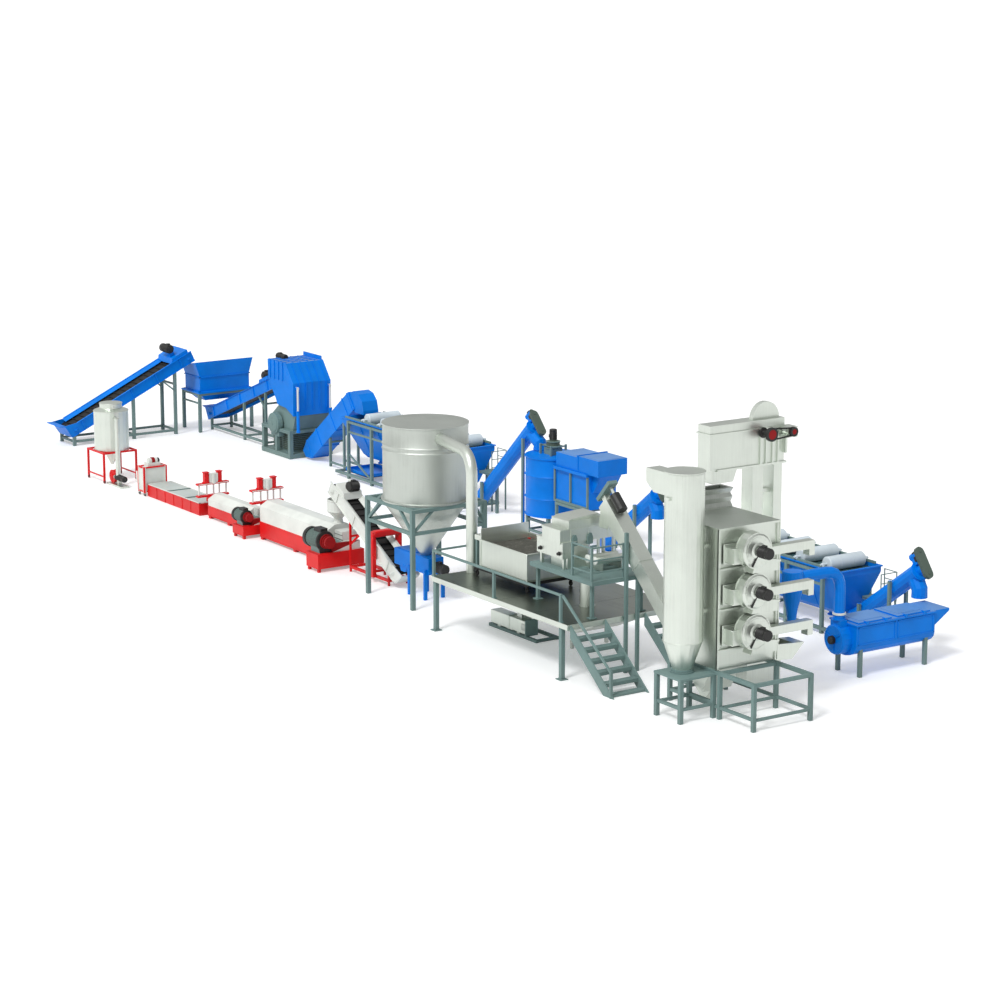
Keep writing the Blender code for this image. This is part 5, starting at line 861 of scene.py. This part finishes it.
def sorting():
    """Trim, covers, knobs, roller ends and drop duct round the sorter."""
    on = slope_map((0, SORTING_FOOT[1]), SORTING_SLOPE)
    centre = (SORTING_FOOT[0], -5.68)
    flanges = Part("sorting_screw_flanges", STEEL_ALONG, centre, 180)
    for a in (2.7, 5.4):
        flanges.prism(slab(on, (a, a + 0.04), (-0.32, 0.32)), "y", (-0.32, 0.32))
    flanges.done()
    box = Part("sorter_trim", STEEL)
    box.box((18.28, 19.97), (-7.42, -6.78), (4.60, 4.64))
    box.prism([(-7.15, 5.40), (-5.55, 5.40), (-5.75, 5.56), (-6.95, 5.48)], "x", (18.90, 19.90))
    for b in (-7.0, -6.2, -5.3):
        box.box((19.89, 19.92), about(b, 0.02), (4.62, 5.08))
    box.row((18.4, -7.41, 4.55), (19.9, -7.41, 4.55), (0, -1, 0), 6, 0.015)
    box.done()
    dark = Part("sorter_covers", GREY)
    for b in (-6.85, -6.15):
        cover = ((-0.12, 4.45), (0.12, 4.45), (0.12, 4.72), (0.06, 4.86), (-0.06, 4.86), (-0.12, 4.72))
        outline = [(b + far, height) for far, height in cover]
        dark.prism(outline, "x", (19.84, 19.96))
    dark.done()
    knobs = Part("sorter_knobs", IRON)
    for a in (18.55, 19.75):
        knob = [(0.08, 0), (0.08, 0.03), (0.04, 0.035), (0.04, 0.08), (0.06, 0.08), (0.06, 0.1)]
        knobs.spin((a, -7.40, 4.2), (0, -1, 0), knob, 16)
    knobs.done()
    ends = Part("roller_ends", WHITE)
    for a in (20.3, 20.75):
        ends.spin((a, -6.505, 4.0), (0, -1, 0), [(0.158, -0.02), (0.158, 0.03), (0.13, 0.05)], 24)
    ends.done()
    duct = Part("sorter_drop_duct", STEEL, (20.05, -6.35))
    duct.spin((0, 0, 2.1506), Z_WAY, [(0.31, 0), (0.31, 0.03), (0.27, 0.03), (0.27, 1.28), (0.23, 1.288)], 40)
    duct.done()


def platform():
    """Deck joints, treads, silo elbow, pump casing, and the vat's wheels, rim and screen."""
    trim = Part("deck_seams", SEAM)
    for a in (15.2, 17.5, 19.8):
        trim.box(about(a, 0.005), (-8.6, -3.45), (2.148, 2.152))
    trim.done(0)
    treads = Part("stair_treads", GREY, (22.0012, 0))
    stair_run = 2.66
    slope = DECK_TOP / stair_run
    for y, wide in ((-8.50, 1.6), (-5.17, 1.12)):
        for k in range(6):
            along = (k + 0.75) * stair_run / 6.6
            level = DECK_TOP - 0.2 - slope * along
            low = max(level - 0.12, 0.01)
            treads.box((along - 0.17, along + 0.155), (y + 0.05, y + wide - 0.05), (low, level + 0.022))
    treads.done()
    plates = Part("deck_rail_plates", GREY)
    for a in (13.01, 17.17, 21.5):
        plates.box(about(a, 0.1), (-8.62, -8.46), (2.149, 2.17))
        plates.row((a - 0.08, -8.49, 2.17), (a + 0.08, -8.49, 2.17), Z_WAY, 2, 0.014)
    plates.done()
    elbow = Part("silo_pipe_elbow", STEEL, (13.3, -7.0))
    route = [(0, 0, 1.948), (0, 0, 1.75), (0.03, 0.02, 1.58),
             (0.12, 0.09, 1.44), (0.25, 0.19, 1.37), (0.42, 0.32, 1.35)]
    elbow.tube(route, 0.21, 24)
    elbow.spin((0.42, 0.32, 1.35), (0.42, 0.32, 0), [(0.24, 0), (0.24, 0.04)], 24)
    elbow.done()
    Part("pump_end_plate", GREY).box((16.20, 16.26), (-6.50, -5.92), (0.13, 0.78)).done()
    casing = Part("pump_casing", STEEL)
    casing.prism([(-6.44, 0.2), (-5.96, 0.2), (-5.96, 0.70), (-6.44, 0.70)], "x", (13.78, 16.2))
    casing.box((15.0, 15.06), (-6.46, -5.94), (0.18, 0.72))
    casing.done()
    wheels = Part("vat_wheels", BLACK)
    for b in (-7.08, -5.07):
        for a in (13.8, 17.2):
            wheels.wheel(a, b, 2.2506, 0.06, 0.1, 0.08)
            wheels.box(about(a, 0.13), about(b, 0.11), (2.385, 2.41))
    wheels.done()
    rim = Part("vat_rim", STEEL_ALONG)
    for b in (-7.23, -4.97):
        rim.box((14.18, 17.38), (b, b + 0.05), (3.62, 3.67))
    rim.box((17.34, 17.40), (-7.22, -4.93), (3.62, 3.67))
    for a in (14.17, 17.31):
        rim.box((a, a + 0.08), (-7.225, -7.16), (2.58, 3.64))
    rim.done()
    grid = Part("vat_screen", SCREEN)
    grid.box((14.25, 17.32), (-7.15, -5.0), (3.44, 3.46))
    for k in range(22):
        a = 14.3 + k * 0.14
        grid.box((a, a + 0.03), (-7.15, -5.0), (3.46, 3.48))
    grid.done(0)
    valve = Part("vat_valve", DARK_RED)
    knob = [(0.07, 0), (0.07, 0.12), (0.11, 0.12), (0.11, 0.2), (0.05, 0.22)]
    valve.spin((14.43, -4.93, 3.40), (0, -1, 0), knob, 18)
    valve.done()


def silo():
    """Round shell, lid and bands of the silo, its filling pipe and its feeder's fittings."""
    centre = SILO_AT
    bands("silo_base_band", SILO_STEEL, centre, 80, (4.09, 1.70, 1.75, 0.05), (7.12, 1.70, 1.742, 0.03))
    shell = Part("silo_shell", SILO_STEEL, centre)
    profile = [(0.2, 1.72), (1.61, 3.79), (1.61, 4.0706), (1.81, 4.0706), (1.81, 4.13), (1.73, 4.14)]
    for low in (6.12, 6.32):
        profile += [(1.73, low), (1.765, low + 0.05), (1.73, low + 0.1)]
    shell.spin((0, 0, 0), Z_WAY, profile + [(1.73, 7.15)], ROUND)
    made = shell.done()
    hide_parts("silo")
    roof = Part("silo_lid", SILO_STEEL, centre)
    roof.spin((0, 0, 7.1506), Z_WAY, [(1.76, 0), (1.76, 0.05), (0.1, 0.09)], ROUND)
    made = roof.done()
    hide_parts("silo_roof")
    pipe = Part("silo_filling_pipe", STEEL, centre)
    toward = Vector((13.3 - SILO_AT[0], -7.0 - SILO_AT[1], 0))
    reach = toward.length
    toward.normalize()
    level = 6.80
    points = [toward * 1.7312 + Vector((0, 0, level))]
    bend = 0.85
    points += [toward * (1.7312 + 0.35 * k) + Vector((0, 0, level)) for k in range(1, 7)]
    for k in range(9):
        turn = radians(90 * k / 8)
        height = level - bend + bend * cos(turn)
        points.append(toward * (reach - bend + bend * sin(turn)) + Vector((0, 0, height)))
    points += [toward * reach + Vector((0, 0, height)) for height in (5.0, 4.0, 3.0, 2.1512)]
    pipe.tube(points, 0.225, 28)
    made = pipe.done()
    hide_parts("silo_pipe")
    drive("silo_feeder_motor", centre, (0.71, 0, 1.35), X_WAY, 0.204, 0.76,
          ((0.95, 1.15), (-0.07, 0.07), (1.54, 1.63)))
    lids = Part("silo_feeder_lids", BLUE, centre)
    lids.row((-1.8, -0.36, 1.12), (0.7, -0.36, 1.12), (0, -1, 0), 14)
    lids.box((-1.7, -0.5), (-0.3, 0.3), (1.715, 1.745))
    lids.done()


def extruders():
    """Plinths, drives, screen changers and trim of both extruders."""
    for number, x0, base_z, cover_z, motor_x, half, size in EXTRUDERS:
        centre = (0, PELLET_Y)
        x1 = motor_x - 0.45
        plinth = Part("extruder_%d_plinth" % number, RED, centre)
        for side in (-1, 1):
            for heights in ((base_z - 0.05, base_z - 0.005), (0.12, 0.17)):
                plinth.box((x0, x1), flank(side, half - 0.02, half + 0.015), heights)
        stand = -half - 1.12 * size
        plinth.box((x1 - 0.02, x1 + 1.0), (stand - 0.015, stand + 0.02), (base_z - 0.08, base_z - 0.03))
        plinth.done()
        my = -half - 0.62 * size
        axis = base_z + 0.46 * size
        low = motor_x - 0.9 * size
        body = Part("extruder_%d_drive_fins" % number, FINS, centre)
        for k in range(28):
            turn = 2 * pi * k / 28
            y, z = my + 0.395 * size * cos(turn), axis + 0.395 * size * sin(turn)
            inner_y, inner_z = my + 0.37 * size * cos(turn), axis + 0.37 * size * sin(turn)
            middle = ((y + inner_y) / 2, (z + inner_z) / 2)
            body.bar((low + 0.22 * size, *middle), (low + 1.09 * size, *middle), 0.035 * size, 0.035 * size)
        body.spin((low + 0.21 * size, my, axis), X_WAY, [(0.383 * size, 0), (0.383 * size, 0.88 * size)], 32)
        body.done(0)
        dark = Part("extruder_%d_drive_ends" % number, IRON, centre)
        dark.box((motor_x - 0.36 * size, motor_x + 0.21 * size), about(my, 0.17 * size),
                 (axis + 0.36 * size, axis + 0.52 * size))
        for sizes in ((0.3, 0.43, 0.0, 0.2), (0.3, 0.43, 1.10, 0.1)):
            dark.collar((low, my, axis), X_WAY, *(value * size for value in sizes), 36)
        dark.bolts((low + 1.2 * size, my, axis), X_WAY, 0.39 * size, 10, 0.018, 0.02)
        dark.done()
        hub = Part("extruder_%d_coupling" % number, DARK_RED, centre)
        for sizes in ((0.2, 0.31, 0.0, 0.05), (0.2, 0.27, 0.12, 0.04)):
            hub.collar((low + 1.26 * size, my, axis), X_WAY, *(value * size for value in sizes), 28)
        hub.done()
        changer = x0 - 0.45
        shelf = cover_z - 0.18
        pale = Part("extruder_%d_changer" % number, WHITE, centre)
        pale.box(about(changer, 0.12), (-0.2, 0.23), (shelf + 0.61, shelf + 1.02))
        pale.box((changer - 0.145, changer + 0.125), (-0.78, 0.78), (shelf + 0.545, shelf + 0.58))
        pale.done()
        caps = Part("extruder_%d_jack_caps" % number, RED, centre)
        for b in (-0.34, 0.34):
            for level in (shelf + 0.6, shelf + 1.07):
                caps.box(about(changer, 0.13), about(b, 0.13), (level, level + 0.045))
        caps.done()
    gear = Part("extruder_1_gear_lines", SEAM, (0, PELLET_Y))
    for heights in ((1.20, 1.23), (1.40, 1.42)):
        gear.box((1.6, 2.25), (-0.43, -0.41), heights)
    gear.done(0)
    bin_at = (1.15, PELLET_Y + 0.05)
    bands("feed_bin_trim", WHITE, bin_at, 40, (2.24, 0.46, 0.50, 0.03), (2.70, 0.46, 0.50, 0.03))


def bath_and_cutter():
    """Cover and rim of the cooling bath, frame and head of the strand cutter."""
    centre = (0, PELLET_Y)
    cover = Part("bath_cover", BATH, centre)
    for start, end in ((-15.32, -13.46), (-13.34, -11.66), (-11.54, -10.28)):
        cover.box((start, end), (-0.56, 0.56), (0.55, 0.592))
        for b in (-0.2, 0.2):
            cover.box((start + 0.05, end - 0.05), about(b, 0.012), (0.592, 0.60))
    cover.done()
    boxes("bath_rim", WHITE, centre,
          *(((-15.42, -10.18), (b, b + 0.08), (0.575, 0.605)) for b in (-0.64, 0.56)),
          *(((a, a + 0.08), (-0.64, 0.64), (0.575, 0.605)) for a in (-15.42, -10.26)))
    cutter = Part("cutter_frame", RED, (CUTTER_X, PELLET_Y))
    x, y, low, top = (-0.22, 0.36), (-0.75, 0.4), 0.2, 1.35
    for a in x:
        for b in y:
            cutter.bar((a, b, low - 0.05), (a, b, top + 0.045), 0.085)
    for level in (low + 0.02, top + 0.015):
        for b in y:
            cutter.bar((x[0], b, level), (x[1], b, level), 0.07)
        for a in x:
            cutter.bar((a, y[0], level), (a, y[1], level), 0.07)
    cutter.done()
    fan = Part("cutter_fan", DARK_RED, (CUTTER_X, PELLET_Y))
    fan.collar((0.08, -0.25, 1.61), Y_WAY, 0.12, 0.17, 0, 0.16, 28)
    fan.done()
    drive("cutter_head_motor", (CUTTER_X, PELLET_Y), (0.08, -0.06, 1.61), Y_WAY, 0.12, 0.24, fins=4)
    feet = Part("cutter_wheels", BLACK, (CUTTER_X, PELLET_Y))
    for a in (-0.2, 0.34):
        for b in (-0.73, 0.38):
            feet.wheel(a, b, 0.08, 0.05, 0.08, 0.07)
    feet.done()


def pellet_silo():
    """Bands and wheels of the small silo, casing and motor of its blower."""
    centre = PELLET_SILO_AT
    hoops = Part("pellet_silo_bands", STEEL, centre)
    for height in (1.505, 3.38):
        hoops.collar((0, 0, height), Z_WAY, 0.82, 0.855, 0, 0.03, 48)
    hoops.collar((0, 0, 3.74), Z_WAY, 0.48, 0.56, 0, 0.03, 40)
    hoops.done()
    wheels = Part("pellet_silo_wheels", BLACK, centre)
    for a in (-0.86, 0.86):
        for b in (-0.86, 0.86):
            wheels.wheel(a, b, 0.09, 0.06, 0.09, 0.07)
    wheels.done()
    blower = Part("pellet_blower_casing", RED, centre)
    for far in (-0.11, 0.08):
        blower.collar((1.3, -0.55, 0.42), Y_WAY, 0.26, 0.315, far, 0.03, 32)
    blower.spin((1.3, -0.65, 0.42), (0, -1, 0), [(0.12, 0), (0.12, 0.05), (0.07, 0.06)], 20)
    blower.done()
    drive("pellet_blower_motor", centre, (1.55, -0.55, 0.42), X_WAY, 0.143, 0.92)


def arch():
    """Detector arch over the red belt conveyor: a dark liner and side panels."""
    on = slope_map((0, 0.23), radians(PELLET_FEED_SLOPE))
    ax, az = on(1.9, BELT_SIDE)
    liner = Part("detector_liner", IRON, (PELLET_FEED_X, PELLET_Y), 180)
    liner.box(about(ax, 0.10), (-0.54, 0.54), (az + 0.26, az + 0.30))
    liner.done()
    panel = Part("detector_shell", RED, (PELLET_FEED_X, PELLET_Y), 180)
    bow = [(-0.72, 0.30), (-0.66, 0.47), (-0.5, 0.53), (0.5, 0.53), (0.66, 0.47), (0.72, 0.30)]
    panel.prism([(b, az + up) for b, up in bow], "x", about(ax, 0.165))
    for side in (-1, 1):
        panel.box(about(ax, 0.15), flank(side, 0.58, 0.73), (az - 0.5, az + 0.32))
    panel.done(0.02)
    drive("pellet_feed_top_motor", (0.98, PELLET_Y), (0, -0.2, 3.22), Y_WAY, 0.14, 0.36,
          ((-0.1, 0.1), (-0.1, 0.1), (2.85, 3.12)), 4)


def smooth_nodes():
    """Smooth shading for the round CAD nodes, with their real edges kept sharp."""
    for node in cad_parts.values():
        node.data.shade_smooth()
        node.data.set_sharp_from_angle(angle=radians(31))


conveyor("infeed", (-29.5, -4.0), 90, 7.15, 25.2, 0.47, 1.60, 0.84, 0.62, BLUE)
conveyor("feed", (-29.2, WASH_Y), 0, 7.35, 20.8, 0.48, 1.22, 0.78, 0.35, BLUE)
conveyor("pellet_feed", (PELLET_FEED_X, PELLET_Y), 180, 5.3, PELLET_FEED_SLOPE, 0.23, 0.9, 0.8, 0.35, WHITE)
bunker_and_shredder()
screw_washer()
for tank in TANKS:
    float_tank(*tank)
for values in SCREWS:
    screw(*values[:6])
drum_and_box()
dewatering()
drying_tower()
sorting()
platform()
silo()
extruders()
bath_and_cutter()
pellet_silo()
arch()
smooth_nodes()


# Camera, floor and light

def make_camera():
    data = bpy.data.cameras.new("photo_camera")
    data.lens = CAMERA_LENS
    data.sensor_width = 36.0
    data.clip_end = 1000.0
    made = put("photo_camera", data)
    made.location = place(*CAMERA_AT)
    forward = Vector((-cos(CAMERA_TURN) * cos(CAMERA_TILT),
                      sin(CAMERA_TURN) * cos(CAMERA_TILT), -sin(CAMERA_TILT)))
    made.rotation_mode = "QUATERNION"
    made.rotation_quaternion = forward.to_track_quat("-Z", "Y")
    bpy.context.scene.camera = made


def make_floor():
    """Wide floor that shows white round the line and keeps its soft shadow."""
    reach = 400.0
    mesh = bpy.data.meshes.new("floor")
    corners = [(-reach, -reach, 0), (reach, -reach, 0), (reach, reach, 0), (-reach, reach, 0)]
    mesh.from_pydata(corners, [], [(0, 1, 2, 3)])
    made = put("floor", mesh)
    made.location = (0, 0, -0.001)
    n = Nodes(bpy.data.materials.new("pale_floor"))
    n.shader.inputs["Base Color"].default_value = (0.86, 0.86, 0.86, 1.0)
    n.shader.inputs["Roughness"].default_value = 0.55
    n.shader.inputs["Specular IOR Level"].default_value = 0.25
    glow = n.add("ShaderNodeEmission", Color=(1, 1, 1, 1), Strength=0.27)
    ray = n.add("ShaderNodeLightPath")
    seen = n.add("ShaderNodeMath", operation="MAXIMUM")
    n.link(ray, "Is Camera Ray", seen, 0)
    n.link(ray, "Is Glossy Ray", seen, 1)
    dark = n.add("ShaderNodeEmission", Strength=0.0)
    extra = n.add("ShaderNodeMixShader")
    n.link(seen, "Value", extra, 0)
    n.link(dark, "Emission", extra, 1)
    n.link(glow, "Emission", extra, 2)
    total = n.add("ShaderNodeAddShader")
    n.link(n.shader, "BSDF", total, 0)
    n.link(extra, "Shader", total, 1)
    out = n.tree.nodes["Material Output"]
    n.link(total, "Shader", out, "Surface")
    mesh.materials.append(n.owner)


def make_light():
    """Even white sky, brighter from the left of the photograph, and one broad soft sun."""
    world = bpy.data.worlds.new("studio")
    bpy.context.scene.world = world
    n = Nodes(world)
    sky = n.tree.nodes["Background"]
    sky.inputs["Color"].default_value = (1, 1, 1, 1)
    where = n.add("ShaderNodeTexCoord")
    side = n.add("ShaderNodeVectorMath", operation="DOT_PRODUCT")
    side.inputs[1].default_value = BRIGHT_SIDE
    level = n.add("ShaderNodeMapRange", From_Min=-0.8, From_Max=0.9, To_Min=0.28, To_Max=0.86)
    n.link(where, "Generated", side, 0)
    n.link(side, "Value", level, "Value")
    n.link(level, "Result", sky, "Strength")
    white = n.add("ShaderNodeBackground", Color=(1, 1, 1, 1), Strength=1.0)
    ray = n.add("ShaderNodeLightPath")
    seen = n.add("ShaderNodeMath", operation="MAXIMUM")
    n.link(ray, "Is Camera Ray", seen, 0)
    n.link(ray, "Is Transmission Ray", seen, 1)
    both = n.add("ShaderNodeMixShader")
    n.link(seen, "Value", both, 0)
    n.link(sky, "Background", both, 1)
    n.link(white, "Background", both, 2)
    n.link(both, "Shader", n.tree.nodes["World Output"], "Surface")
    data = bpy.data.lights.new("sun", "SUN")
    data.energy = 1.75
    data.angle = radians(14.0)
    made = put("sun", data)
    towards = Vector((0.30, -0.72, 1.0))
    made.rotation_mode = "QUATERNION"
    made.rotation_quaternion = towards.to_track_quat("Z", "Y")


make_camera()
make_floor()
make_light()
bpy.context.scene.view_settings.view_transform = "Standard"
